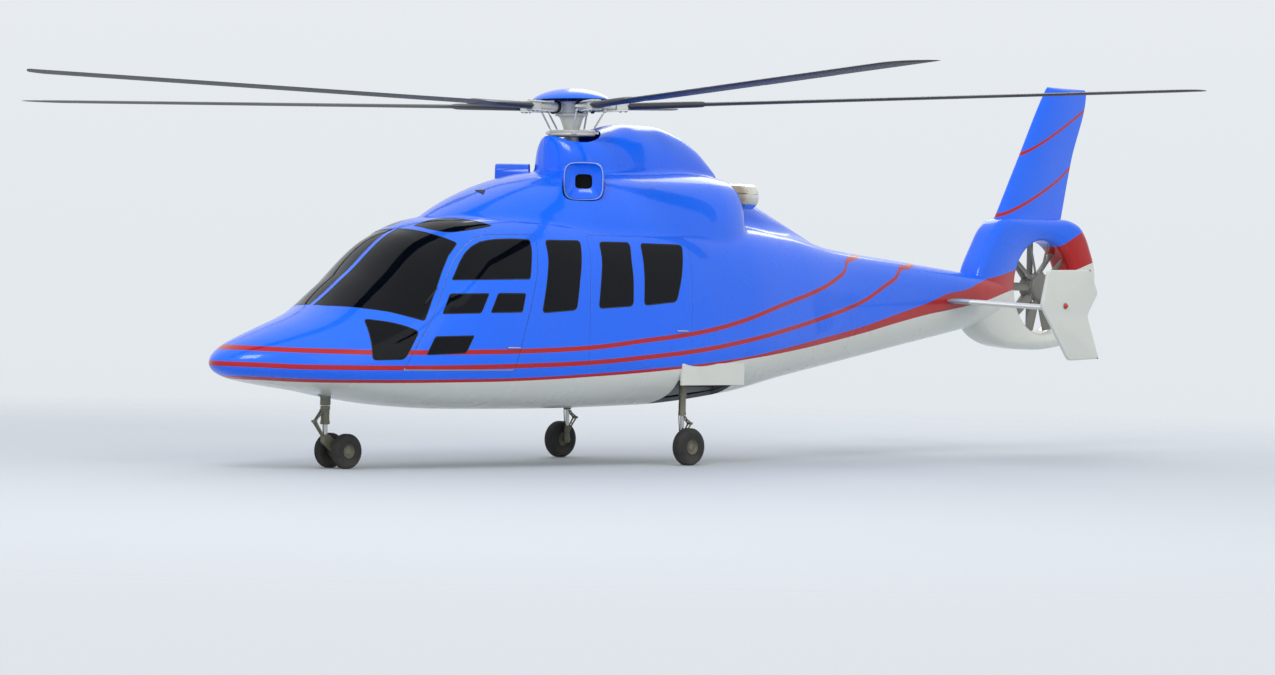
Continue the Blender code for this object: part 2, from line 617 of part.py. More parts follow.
def cowlings():
    cowl = arch_solid("engine_cowling", COWL, COWL_BASE, 0.0, blue())
    combine(cowl, arch_solid("cowl_hollow", COWL[1:], COWL_BASE, COWL_WALL))
    combine(cowl, hull_solid("cowl_trim", layer_places(3.40, -3.20), -GAP))
    combine(cowl, turned("cowl_mast_hole", ((0, -1.0), (0.34, -1.0), (0.34, 0.3), (0, 0.3)), "z",
        (0.82, 0, 3.2), 32))
    aft = arch_solid("aft_cowling", AFT_COWL, AFT_BASE, 0.0, blue())
    combine(aft, arch_solid("aft_hollow", AFT_COWL, AFT_BASE, COWL_WALL))
    combine(aft, hull_solid("aft_trim", layer_places(-0.5, -3.40), -GAP))
    pylon = arch_solid("rotor_fairing", PYLON, PYLON_BASE, 0.0, blue())
    combine(pylon, arch_solid("fairing_hollow", PYLON[2:], PYLON_BASE, PYLON_WALL))
    combine(pylon, arch_solid("fairing_trim", COWL, COWL_BASE, -GAP))
    combine(pylon, arch_solid("fairing_aft_trim", ((-1.10, *AFT_COWL[0][1:]), *AFT_COWL), AFT_BASE, -GAP))
    opening = turned("fairing_opening", ((0, -0.15), (0.30, -0.15), (0.30, 0.6), (0, 0.6)), "z",
        (0.82, 0, 3.3), 32)
    combine(pylon, opening)
    for label, side in SIDES:
        scallop = turned(f"exhaust_scallop_{label}", ((0, -1.6), (EXHAUST["radius"] + 0.012, -1.6),
                         (EXHAUST["radius"] + 0.012, -1.0), (0, -1.0)), "x",
                         (0, side * EXHAUST["y"], EXHAUST["z"]), 24)
        combine(aft, scallop)
        port = turned(f"exhaust_port_{label}", ((0, -1.3), (EXHAUST["radius"] + GAP, -1.3),
                      (EXHAUST["radius"] + GAP, -1.0), (0, -1.0)), "x",
                      (0, side * EXHAUST["y"], EXHAUST["z"]), 24)
        combine(cowl, port)


EXHAUST = {"y": 0.45, "z": 2.765, "radius": 0.128, "wall": 0.006, "front": -0.8503, "rear": -1.385}
ENGINE = {"y": 0.38, "half": 0.15, "front": -0.15, "rear": -0.85, "top": 2.82}
GEARBOX = {"radius": 0.20, "depth": 0.50}


def power_plant():
    steel = material("bare_block_metal", (0.25, 0.25, 0.26), 0.5, 0.8)
    for label, side in SIDES:
        low, high = side_span(side, ENGINE["y"] - ENGINE["half"], ENGINE["y"] + ENGINE["half"])
        block = box(f"engine_{label}", (ENGINE["rear"], low, 2.4),
            (ENGINE["front"], high, ENGINE["top"]), steel)
        combine(block, hull_solid(f"engine_seat_{label}", layer_places(0.3, -1.3), -GAP))
        inner = EXHAUST["radius"] - EXHAUST["wall"]
        turned(f"exhaust_{label}", ((inner, EXHAUST["rear"]), (EXHAUST["radius"], EXHAUST["rear"]),
               (EXHAUST["radius"], EXHAUST["front"]), (inner, EXHAUST["front"])), "x",
               (0, side * EXHAUST["y"], EXHAUST["z"]), 24,
               material("polished_exhaust_steel", (0.70, 0.68, 0.64), 0.12, 1.0))
    gearbox = turned("main_gearbox", ((0, -1.6), (GEARBOX["radius"], -1.6),
        (GEARBOX["radius"], -GEARBOX["depth"] - 0.05),
                     (0.16, -GEARBOX["depth"] - GAP), (0, -GEARBOX["depth"] - GAP)), "z", (0, 0, 0), 24,
                     steel)
    gearbox.matrix_world = rotor_frame()
    combine(gearbox, hull_solid("gearbox_seat", layer_places(1.6, 0.1), -GAP))


INTAKE = {"mouth": (1.25, 0.65, 2.83), "half": 0.20, "height": 0.192, "depth": 0.36, "hole": (0.105, 0.072)}


def rounded_square(half, height, power, steps):
    angles = np.arange(steps) * (2 * math.pi / steps) + math.pi / steps
    across, up = np.cos(angles), np.sin(angles)
    a = half * np.sign(across) * np.abs(across) ** (2 / power)
    b = height * np.sign(up) * np.abs(up) ** (2 / power)
    return list(zip(a.tolist(), b.tolist()))


def intakes():
    """Air intakes that look forwards and outwards; the cowling trims their inner ends."""
    for label, side in SIDES:
        facing = Vector((1, side, 0)).normalized()
        along = Vector((-side, 1, 0)).normalized()
        mouth = Vector((INTAKE["mouth"][0], side * INTAKE["mouth"][1], INTAKE["mouth"][2]))

        def ring(depth, half, height):
            centre = mouth - facing * depth
            return [tuple(centre + along * a + Vector((0, 0, b))) for a,
                b in rounded_square(half, height, 4.0, 24)]

        half, height = INTAKE["half"], INTAKE["height"]
        pod = loft(f"intake_{label}", [ring(INTAKE["depth"], half * 1.02, height * 1.02),
            ring(0.02, half, height),
                   ring(0.0, half * 0.95, height * 0.95)], blue())
        throat = loft(f"intake_throat_{label}", [ring(0.17, *INTAKE["hole"]), ring(0.06, *INTAKE["hole"]),
                      ring(-0.01, half * 0.88, height * 0.88)])
        combine(pod, throat)
        combine(bpy.data.objects["engine_cowling"], throat)
        combine(pod, arch_solid(f"intake_trim_{label}", COWL, COWL_BASE, -GAP))
        combine(pod, arch_solid(f"intake_fairing_trim_{label}", PYLON, PYLON_BASE, -GAP))


# The tail: side outlines as x, z.
SHROUD = (
    (-5.36, 1.50), (-5.55, 1.320), (-5.80, 1.225), (-6.20, 1.180), (-6.65, 1.175), (-7.05, 1.230),
    (-7.35, 1.400),
    (-7.52, 1.680), (-7.58, 2.000), (-7.55, 2.200), (-7.40, 2.500), (-7.28, 2.640), (-7.08, 2.700),
    (-5.96, 2.700),
    (-5.82, 2.650), (-5.70, 2.540), (-5.38, 2.030),
)
SHROUD_HALF = 0.18
SHROUD_ROUND = 0.10
# Columns: z, front x, rear x, half thickness.
FIN = (
    (2.600, -5.840, -7.045, 0.105), (3.400, -6.290, -7.245, 0.080), (4.205, -6.752, -7.500, 0.055),
    (4.238, -6.775, -7.470, 0.035),
)


def shroud_solid(name, grow=0.0, paint=None):
    """The tail fan's housing: a thick plate with rounded rims."""
    rings = []
    for turn in np.linspace(-math.pi / 2, math.pi / 2, 7):
        outline = moved_edges(SHROUD, grow - SHROUD_ROUND * (1 - math.cos(turn)))
        y = (SHROUD_HALF - SHROUD_ROUND) * np.sign(turn) + (SHROUD_ROUND + grow) * math.sin(turn)
        rings.append([(a, float(y), b) for a, b in outline])
    return loft(name, rings, paint)


def duct_spool(name, wall=0.0):
    """The fan's round duct with its rounded lips, or its outer side where a wall is given."""
    lip = SHROUD_HALF + 0.02
    edge = DUCT_RADIUS + 0.075
    if wall:
        return turned(name, ((0, -lip), (edge + wall, -lip), (edge + wall, lip), (0, lip)), "y",
            FAN_CENTRE, 32)
    half = ((0, lip), (edge, lip), (DUCT_RADIUS + 0.055, SHROUD_HALF),
        (DUCT_RADIUS + 0.015, SHROUD_HALF - 0.045),
            (DUCT_RADIUS, SHROUD_HALF - 0.09))
    return turned(name, [(r, -y) for r, y in half] + list(reversed(half)), "y", FAN_CENTRE, DUCT_STEPS)


def wing_ring(front, rear, half, place, steps=14):
    """A streamlined section between two chord ends, placed by a function of (chord, thickness)."""
    chord = front - rear
    ring = []
    for k in range(steps):
        angle = 2 * math.pi * k / steps
        along = 0.5 * (1 + math.cos(angle))
        thick = half * math.sin(angle) * (0.35 + 0.65 * along) * 1.25
        ring.append(place(rear + chord * along, thick))
    return ring


def fin():
    rings = [wing_ring(front, rear, half, lambda a, t, z=z: (a, t, z)) for z, front, rear, half in FIN]
    blade = loft("tail_fin", rings, blue())
    combine(blade, shroud_solid("fin_seat", GAP))


STABILISER = {"span": 1.70, "front": -4.66, "rear": -5.32, "half": 0.030, "root_z": 1.735, "tip_z": 1.665}


def stabiliser_solid(name, grow=0.0, paint=None):
    rings = []
    for y in (-STABILISER["span"], 0.0, STABILISER["span"]):
        z = STABILISER["tip_z"] if y else STABILISER["root_z"]
        rings.append(wing_ring(STABILISER["front"] + grow, STABILISER["rear"] - grow,
            STABILISER["half"] + grow * 1.5,
                               lambda a, t, y=y, z=z: (a, y, z + t)))
    return loft(name, rings, paint)


ENDPLATE = (
    (-4.723, 2.077), (-5.455, 2.092), (-5.593, 1.832), (-5.408, 1.594), (-5.629, 1.113),
    (-5.102, 1.090), (-4.615, 1.683),
)
ENDPLATE_THICKNESS = 0.045
LAMP = {"x": -5.012, "z": 1.688, "radius": 0.030}


def tail():
    shroud = shroud_solid("fan_shroud", 0.0, blue())
    hollow = shroud_solid("shroud_hollow", -SHROUD_WALL)
    combine(hollow, duct_spool("duct_outside", SHROUD_WALL))
    combine(shroud, hollow)
    combine(shroud, duct_spool("duct_bore"))
    combine(shroud, box("shroud_front_opening", (-5.75, -0.10, 1.62), (-5.30, 0.10, 1.92)))
    fin()
    stabiliser_solid("stabiliser", 0.0, material("grey_blue_paint", (0.30, 0.33, 0.38), 0.4))
    for label, side in SIDES:
        inner = STABILISER["span"] + GAP
        low, high = side_span(side, inner, inner + ENDPLATE_THICKNESS)
        prism(f"endplate_{label}", ENDPLATE, low, high, "y", white())
        lens = turned(f"position_lamp_{label}", ((0, 0), (LAMP["radius"], 0),
            (LAMP["radius"] * 0.8, 0.022), (0, 0.036)),
                      "y", (LAMP["x"], 0, LAMP["z"]), 12,
                      material(f"lamp_{label}", (0.7, 0.02, 0.02) if side > 0 else (0.02, 0.5, 0.08), 0.2))
        if side < 0:
            lens.data.transform(Matrix.Translation((0, 0, 0)) @ Matrix.Scale(-1, 4, (0, 1, 0)))
            lens.data.flip_normals()
        lens.data.transform(Matrix.Translation((0, side * (inner + ENDPLATE_THICKNESS + GAP), 0)))


def fan():
    """The tail fan's rotor, on the left of the motor pod, and the pod with its stays."""
    grey = material("grey_fan_paint", (0.22, 0.22, 0.22), 0.45, 0.3)
    hub = turned("tail_fan", ((0, 0.01), (0.160, 0.01), (0.165, 0.02), (0.165, 0.10), (0.150, 0.125),
        (0, 0.13)),
                 "y", (0, 0, 0), 30, grey)
    hub.location = FAN_CENTRE
    for number in range(FAN_BLADES):
        turn = Matrix.Rotation(2 * math.pi * (number + 0.5) / FAN_BLADES, 4, "Y")
        pitch = Matrix.Rotation(math.radians(28), 4, "Z")
        rows = ((0.12, 0.035, 0.010), (0.24, 0.048, 0.009), (FAN_RADIUS, 0.052, 0.007))
        rings = []
        for radius, half, thick in rows:
            corners = ((-half, -thick), (half, -thick), (half, thick), (-half, thick))
            rings.append([tuple(FAN_CENTRE + turn @ (Vector((0, 0.062, radius)) + pitch @ Vector((a, b,
                0))))
                          for a, b in corners])
        combine(hub, loft(f"fan_blade_{number}", rings), "UNION")
    pod = turned("fan_pod", ((0, -0.16), (0.10, -0.15), (0.145, -0.11), (0.145, 0.0097), (0, 0.0097)),
        "y", (0, 0, 0),
                 24, grey)
    pod.location = FAN_CENTRE
    for number in range(FAN_STAYS):
        turn = Matrix.Rotation(2 * math.pi * number / FAN_STAYS, 4, "Y")
        rings = []
        for radius in (0.10, STAY_TIP):
            corners = ((-0.012, -0.12), (0.012, -0.12), (0.012, -0.03), (-0.012, -0.03))
            rings.append([tuple(FAN_CENTRE + turn @ Vector((a, b, radius))) for a, b in corners])
        combine(pod, loft(f"fan_stay_{number}", rings), "UNION")


def rotor_frame():
    return Matrix.Translation(HUB) @ Matrix.Rotation(MAST_TILT, 4, "Y")


# Blade sections: radius, chord ahead of the axis, chord behind it, half thickness.
BLADE = (
    (0.5803, 0.075, 0.075, 0.036), (1.05, 0.085, 0.100, 0.034), (1.45, 0.096, 0.289, 0.020),
    (4.00, 0.096, 0.289, 0.017), (6.30, 0.096, 0.289, 0.015), (6.55, 0.030, 0.286, 0.012),
    (ROTOR_RADIUS, -0.200, 0.280, 0.006),
)


def rotor():
    frame = bpy.data.objects.new("rotor_axis", None)
    frame.matrix_world = rotor_frame()
    bpy.context.scene.collection.objects.link(frame)
    hub = turned("rotor_hub", ((0, -GEARBOX["depth"]), (0.075, -GEARBOX["depth"]), (0.075, -0.22),
        (0.115, -0.09),
                 (0.170, -0.07), (0.170, 0.06), (0.10, 0.075), (0, 0.075)), "z", (0, 0, 0), 24,
                 pale_metal())
    hub.parent = frame
    for number in range(BLADE_COUNT):
        angle = 2 * math.pi * number / BLADE_COUNT
        turn = Matrix.Rotation(angle, 4, "Z") @ Matrix.Rotation(-CONING, 4, "Y")
        arm = box(f"hub_arm_{number}", (0.10, -0.065, -0.052), (0.58, 0.065, 0.052))
        arm.parent = frame
        arm.matrix_local = turn
        combine(hub, arm, "UNION")
        rings = []
        for radius, lead, trail, half in BLADE:
            rings.append(wing_ring(-lead, trail, half, lambda a, t, r=radius: (r, a, t), 12))
        blade = loft(f"rotor_blade_{number + 1}", rings,
            material("black_blade_paint", (0.02, 0.02, 0.022), 0.5))
        blade.parent = frame
        blade.matrix_local = turn
    cap = turned("hub_cap", ((0, 0.0753), (0.05, 0.0753), (0.05, 0.168), (0.20, 0.148), (0.385, 0.078),
        (0.392, 0.088),
                 (0.21, 0.163), (0, 0.198)), "z", (0, 0, 0), 32, blue())
    cap.parent = frame
    plate = turned("swashplate", ((0.0753, -0.29), (0.22, -0.29), (0.245, -0.275), (0.245, -0.235),
        (0.22, -0.225),
                   (0.0753, -0.225)), "z", (0, 0, 0), 24, pale_metal())
    plate.parent = frame
    for number in range(BLADE_COUNT):
        turn = Matrix.Rotation(2 * math.pi * number / BLADE_COUNT, 4, "Z")
        low, high = turn @ Vector((0.20, -0.085, -0.24)), turn @ Vector((0.33, -0.100, -0.03))
        link = rod(f"pitch_link_{number}", low, high, 0.009)
        link.parent = frame
        combine(plate, link, "UNION")


def rod(name, low, high, radius, paint=None, steps=8):
    """A straight round bar between two points."""
    along = (high - low).normalized()
    turn = along.to_track_quat("Z", "Y").to_matrix()
    rings = []
    for centre in (low, high):
        rings.append([tuple(centre + turn @ Vector((radius * math.cos(2 * math.pi * k / steps),
                                                     radius * math.sin(2 * math.pi * k / steps),
                                                         0))) for k in range(steps)])
    return loft(name, rings, paint)


def wheel_side(radius, half):
    """The outer side of a wheel, from its cap to the edge of the tread."""
    rim = radius * 0.40
    return ((0, half * 0.62), (rim * 0.50, half * 0.62), (rim * 0.56, half * 0.45),
        (rim * 0.94, half * 0.45),
            (rim, half * 0.85), (radius * 0.74, half), (radius * 0.93, half * 0.76), (radius, half * 0.30))


def wheel_profile(radius, half, bore_depth):
    """A wheel from its outer cap round the tyre to the end of its blind bore."""
    back = [(r, -along) for r, along in reversed(wheel_side(radius, half)[3:])]
    bore = AXLE_RADIUS + GAP
    return [*wheel_side(radius, half), *back, (bore, -half * 0.45), (bore, bore_depth), (0, bore_depth)]


LEG = {"x": 0.0, "y": 0.85, "tube": 0.036, "piston": 0.021, "split": 0.50}


def main_gear():
    for label, side in SIDES:
        wheel_y = MAIN_WHEEL["track"] / 2
        half, radius = MAIN_WHEEL["half_width"], MAIN_WHEEL["radius"]
        height = radius * FLAT_HEIGHT
        wheel = turned(f"main_wheel_{label}", wheel_profile(radius, half, 0.020), "y", (0, 0, 0),
            WHEEL_STEPS, rubber())
        if side < 0:
            wheel.data.transform(Matrix.Rotation(math.pi, 4, "Z"))
        wheel.location = (0, side * wheel_y, height)
        leg_y = side * LEG["y"]
        leg = turned(f"main_leg_{label}", ((0, height), (LEG["piston"], height),
            (LEG["piston"], LEG["split"]),
                     (LEG["tube"], LEG["split"]), (LEG["tube"], BAY["top"] - GAP),
                     (0, BAY["top"] - GAP)), "z",
                     (LEG["x"], leg_y, 0), 16, olive_metal())
        axle_low, axle_high = side_span(side, LEG["y"] - 0.03, wheel_y + 0.020 - GAP)
        axle = turned(f"main_axle_{label}", ((0, axle_low), (AXLE_RADIUS, axle_low),
                      (AXLE_RADIUS, axle_high), (0, axle_high)), "y", (0, 0, height), AXLE_STEPS)
        combine(leg, axle, "UNION")
        for number, (low, high) in enumerate((((-0.02, 0.47), (-0.11, 0.42)),
            ((-0.11, 0.42), (-0.015, 0.30)))):
            for offset in (-0.022, 0.022):
                bar = rod(f"main_link_{label}_{number}_{offset}", Vector((low[0], leg_y + offset, low[1])),
                          Vector((high[0], leg_y + offset, high[1])), 0.008)
                combine(leg, bar, "UNION")
        cross = rod(f"main_link_pin_{label}", Vector((-0.11, leg_y - 0.032, 0.42)),
            Vector((-0.11, leg_y + 0.032, 0.42)), 0.012)
        combine(leg, cross, "UNION")
        inner_low, inner_high = side_span(side, 0.80, 1.02)
        outline = ((0.18, side * 1.022), (-0.78, side * 0.962), (-0.78, side * 0.935), (0.18, side * 0.995))
        door = prism(f"gear_door_{label}", outline, 0.81, 1.035, "z", white())
        combine(door, hull_solid(f"gear_door_trim_{label}", layer_places(0.6, -1.2), -GAP))


NOSE_LEG = {"top": 0.80, "collar": 0.60, "tube": 0.042, "piston": 0.026, "split": 0.42, "bend": 0.27}


def nose_gear():
    leg = turned("nose_leg", ((0, NOSE_LEG["collar"] + GAP), (0.050, NOSE_LEG["collar"] + GAP),
        (0.050, NOSE_LEG["top"]),
                 (0, NOSE_LEG["top"])), "z", (NOSE_PIVOT_X, 0, 0), 20, olive_metal())
    combine(leg, hull_solid("nose_leg_seat", layer_places(4.60, 3.30), -GAP))
    fork = turned("nose_fork", ((0, NOSE_LEG["bend"]), (NOSE_LEG["piston"], NOSE_LEG["bend"]),
                  (NOSE_LEG["piston"], NOSE_LEG["split"]), (NOSE_LEG["tube"], NOSE_LEG["split"]),
                  (NOSE_LEG["tube"], NOSE_LEG["collar"]), (0, NOSE_LEG["collar"])), "z", (0, 0, 0), 20,
                  olive_metal())
    fork.location = (NOSE_PIVOT_X, 0, 0)
    radius = NOSE_WHEEL["radius"]
    height = radius * FLAT_HEIGHT
    arm = prism("fork_arm", ((NOSE_PIVOT_X + 0.030, 0.31), (NOSE_PIVOT_X + 0.030, 0.25),
        (NOSE_WHEEL["x"] + 0.03, height - 0.035),
                             (NOSE_WHEEL["x"] - 0.035, height - 0.030),
                             (NOSE_WHEEL["x"] - 0.035, height + 0.035),
                             (NOSE_PIVOT_X - 0.030, 0.31)), -0.032, 0.032)
    combine(fork, arm, "UNION")
    for number, (low, high) in enumerate((((0.03, 0.56), (0.13, 0.45)), ((0.13, 0.45), (0.02, 0.30)))):
        bar = rod(f"nose_link_{number}", Vector((NOSE_PIVOT_X + low[0], 0, low[1])),
            Vector((NOSE_PIVOT_X + high[0], 0, high[1])), 0.014)
        combine(fork, bar, "UNION")
    bore_radius = (AXLE_RADIUS + GAP) / math.cos(math.pi / AXLE_STEPS)  # its flats clear the axle's corners
    bore = turned("fork_bore", ((0, -0.1), (bore_radius, -0.1), (bore_radius, 0.1), (0, 0.1)), "y",
                  (NOSE_WHEEL["x"], 0, height), AXLE_STEPS)
    combine(fork, bore)
    axle = turned("nose_wheels", ((0, -0.13), (AXLE_RADIUS, -0.13), (AXLE_RADIUS, 0.13), (0, 0.13)), "y",
                  (0, 0, 0), AXLE_STEPS, rubber())
    axle.location = (NOSE_WHEEL["x"], 0, height)
    half = NOSE_WHEEL["half_width"]
    outline = [*wheel_side(radius, half), *((r, -along) for r, along in reversed(wheel_side(radius, half)))]
    for label, side in SIDES:
        wheel = turned(f"nose_wheel_{label}", outline, "y",
            (NOSE_WHEEL["x"], side * NOSE_WHEEL["track"] / 2, height), WHEEL_STEPS)
        combine(axle, wheel, "UNION")


def build():
    clear_scene()
    nose_cone()
    canopy()
    front_doors()
    cabin()
    rear_fuselage()
    tail_boom()
    cabin_floor()
    interior()
    cowlings()
    power_plant()
    intakes()
    tail()
    fan()
    rotor()
    main_gear()
    nose_gear()


build()
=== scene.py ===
import math

import bpy
import numpy as np
from mathutils import Matrix, Vector
from mathutils.geometry import delaunay_2d_cdt


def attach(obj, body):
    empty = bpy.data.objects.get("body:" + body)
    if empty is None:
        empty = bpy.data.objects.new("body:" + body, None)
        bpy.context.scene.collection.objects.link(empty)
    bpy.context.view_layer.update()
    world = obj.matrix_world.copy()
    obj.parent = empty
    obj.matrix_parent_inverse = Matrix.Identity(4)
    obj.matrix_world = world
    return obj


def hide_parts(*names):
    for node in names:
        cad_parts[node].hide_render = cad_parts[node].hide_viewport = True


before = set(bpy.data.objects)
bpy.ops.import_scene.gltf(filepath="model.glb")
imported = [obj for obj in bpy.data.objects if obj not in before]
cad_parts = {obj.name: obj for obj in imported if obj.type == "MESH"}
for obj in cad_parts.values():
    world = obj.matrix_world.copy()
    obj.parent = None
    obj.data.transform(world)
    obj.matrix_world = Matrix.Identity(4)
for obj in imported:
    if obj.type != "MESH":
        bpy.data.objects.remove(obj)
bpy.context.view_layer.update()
sides = (("left", 1), ("right", -1))


# Shapes. A shape is a dictionary of points, face arrays, and a material number for each array.


def shapeOf(points, faces, slots=None, normals=None):
    return {"points": np.asarray(points, float), "faces": [np.asarray(f, int) for f in faces],
            "slots": list(slots or [0] * len(faces)), "normals": list(normals or [None] * len(faces))}


def joined(shapes):
    # The shapes one after the other, with each one's point numbers shifted by the points before it.
    points, faces, slots, normals, shift = [], [], [], [], 0
    for shape in shapes:
        points.append(shape["points"])
        faces += [f + shift for f in shape["faces"]]
        slots += shape["slots"]
        normals += shape["normals"]
        shift += len(shape["points"])
    return {"points": np.concatenate(points), "faces": faces, "slots": slots, "normals": normals}


def flipped(shape):
    # Every face turned round, so that its other side shows.
    return {**shape, "faces": [f[:, ::-1] for f in shape["faces"]],
            "normals": [None if n is None else -n[:, ::-1] for n in shape["normals"]]}


def mirrored(shape, side=-1):
    # The shape on the other side of the centre plane: y changes its sign.
    if side > 0:
        return shape
    turn = np.array([1.0, -1.0, 1.0])
    return {**shape, "points": shape["points"] * turn, "faces": [f[:, ::-1] for f in shape["faces"]],
            "normals": [None if n is None else n[:, ::-1] * turn for n in shape["normals"]]}


def placed(shape, matrix):
    # Every point turned and moved by a matrix.
    m = np.array(matrix)
    return {**shape, "points": shape["points"] @ m[:3, :3].T + m[:3, 3]}


def outward(shape):
    # A closed shape turned so that its signed volume, summed over fans of triangles, is positive.
    points, volume = shape["points"], 0.0
    for f in shape["faces"]:
        for k in range(1, f.shape[1] - 1):
            volume += np.einsum("ij,ij->", points[f[:, 0]], np.cross(points[f[:, k]], points[f[:, k + 1]]))
    return shape if volume > 0 else flipped(shape)


def gridFaces(rows, columns, closedRows=False, closedColumns=True):
    # Four-sided faces between neighbouring points of a grid that may close on itself in either direction.
    i = np.arange(rows if closedRows else rows - 1)[:, None]
    j = np.arange(columns if closedColumns else columns - 1)[None, :]
    nextRow, nextColumn = (i + 1) % rows, (j + 1) % columns
    corners = [i * columns + j, i * columns + nextColumn, nextRow * columns + nextColumn,
               nextRow * columns + j]
    return np.stack(np.broadcast_arrays(*corners), -1).reshape(-1, 4)


def gridShape(grid, closedRows=False, closedColumns=True, caps=True, slot=0):
    # A skin over a grid of points (rows, columns, 3); flat many-sided caps close its first and last rows.
    rows, columns = grid.shape[:2]
    faces = [gridFaces(rows, columns, closedRows, closedColumns)]
    if caps and closedColumns and not closedRows:
        faces += [np.arange(columns)[None, ::-1], (rows - 1) * columns + np.arange(columns)[None, :]]
    shape = shapeOf(grid.reshape(-1, 3), faces, [slot] * len(faces))
    return outward(shape) if closedColumns and (caps or closedRows) else shape


def turnedShape(profile, steps=48, axis="z", centre=(0, 0, 0), caps=True, slot=0):
    # A profile of (radius, along) carried round an axis: the circle's cosine and sine times the radius.
    profile = np.asarray(profile, float)
    angle = (np.arange(steps) + 0.5) * 2 * math.pi / steps
    radius, along = np.maximum(profile[:, 0, None], 1e-5), profile[:, 1, None] + 0 * angle
    a, b = radius * np.cos(angle), radius * np.sin(angle)
    grid = {"z": (a, b, along), "y": (b, along, a), "x": (along, a, b)}[axis]
    return gridShape(np.stack(grid, -1) + np.asarray(centre, float), caps=caps, slot=slot)


def rounded(profile, radius=0.003, steps=3):
    # A profile whose corners are replaced by arcs, each a curve from edge to edge bent to its corner.
    points = [Vector(p) for p in profile]
    result = [points[0]]
    for before, here, after in zip(points, points[1:], points[2:]):
        cut = min(radius, (here - before).length * 0.45, (after - here).length * 0.45)
        start = here.lerp(before, cut / max((here - before).length, 1e-9))
        end = here.lerp(after, cut / max((after - here).length, 1e-9))
        for k in range(steps + 1):
            t = k / steps
            result.append(start * (1 - t) ** 2 + here * 2 * t * (1 - t) + end * t**2)
    result.append(points[-1])
    return [tuple(p) for p in result]


def rodShape(radius, low, high, steps=48, axis="z", centre=(0, 0, 0)):
    # A plain cylinder between two places on its axis.
    return turnedShape(((0.0, low), (radius, low), (radius, high), (0.0, high)), steps, axis, centre)


def tubeShape(path, radius, steps=12, slot=0):
    # A round section carried along a path; each ring stands square to the path and keeps the last one's turn.
    path = [Vector(p) for p in path]
    radii = radius if isinstance(radius, (list, tuple)) else [radius] * len(path)
    side, rings = None, []
    angle = np.arange(steps) * 2 * math.pi / steps
    for k, here in enumerate(path):
        along = (path[min(k + 1, len(path) - 1)] - path[max(k - 1, 0)]).normalized()
        if side is None:
            side = along.orthogonal().normalized()
        side = (side - along * side.dot(along)).normalized()
        other = along.cross(side)
        rings.append(np.array(here) + radii[k] * (np.outer(np.cos(angle), side)
                                                  + np.outer(np.sin(angle), other)))
    return gridShape(np.array(rings), slot=slot)


def extrudedShape(outline, low, high, axis="y", bevel=0.0, slot=0):
    # A flat outline carried along the third axis; a bevel pulls the first and last outlines inwards.
    outline = np.asarray(outline, float)
    inner = np.asarray(movedOutline(outline, -bevel)) if bevel else outline
    rows = [(outline, low), (outline, high)]
    if bevel:
        rows = [(inner, low), (outline, low + bevel), (outline, high - bevel), (inner, high)]
    grid = []
    for flat, place in rows:
        a, b, c = flat[:, 0], flat[:, 1], np.full(len(flat), place)
        grid.append(np.stack({"x": (c, a, b), "y": (a, c, b), "z": (a, b, c)}[axis], -1))
    return gridShape(np.array(grid), slot=slot)


def movedOutline(outline, distance):
    # Each corner of a closed outline moved outwards along the mean of its two edges' normals.
    p = np.asarray(outline, float)
    before, after = p - np.roll(p, 1, 0), np.roll(p, -1, 0) - p
    area = np.sum(p[:, 0] * np.roll(p[:, 1], -1) - np.roll(p[:, 0], -1) * p[:, 1])
    before /= np.linalg.norm(before, axis=1)[:, None]
    after /= np.linalg.norm(after, axis=1)[:, None]
    side = 1 if area > 0 else -1
    one = np.stack([before[:, 1], -before[:, 0]], -1) * side
    two = np.stack([after[:, 1], -after[:, 0]], -1) * side
    corner = one + two
    corner /= np.linalg.norm(corner, axis=1)[:, None]
    return p + corner * (distance / np.maximum(np.sum(corner * one, 1), 0.4))[:, None]


def softOutline(outline, radius=0.03, spacing=0.02):
    # A closed outline with rounded corners: curves bent to each corner, and its straight runs cut up evenly.
    p = np.asarray(outline, float)
    result = []
    for k in range(len(p)):
        before, here, after = p[k - 1], p[k], p[(k + 1) % len(p)]
        toBefore, toAfter = before - here, after - here
        one, two = np.linalg.norm(toBefore), np.linalg.norm(toAfter)
        cut = min(radius, one * 0.42, two * 0.42)
        start, end = here + toBefore * cut / one, here + toAfter * cut / two
        t = np.linspace(0, 1, 6)[:, None]
        result.append(start * (1 - t) ** 2 + here * 2 * t * (1 - t) + end * t**2)
    corners = np.concatenate(result)
    ends = np.roll(corners, -1, 0)
    pieces = []
    for a, b in zip(corners, ends):
        count = max(1, int(round(np.linalg.norm(b - a) / spacing)))
        pieces.append(a + (b - a) * (np.arange(count) / count)[:, None])
    return np.concatenate(pieces)


def boxReach(across, up, power):
    # How far a rounded box, |a|^n + |b|^n = 1, reaches in a direction given by its cosine and sine.
    return (np.abs(across) ** power + np.abs(up) ** power) ** (-1 / power)


def boxHeight(part, power):
    # The height of a rounded box at a part of its half width: (1 - part^n)^(1/n).
    return np.maximum(1 - part**power, 0.0) ** (1 / power)


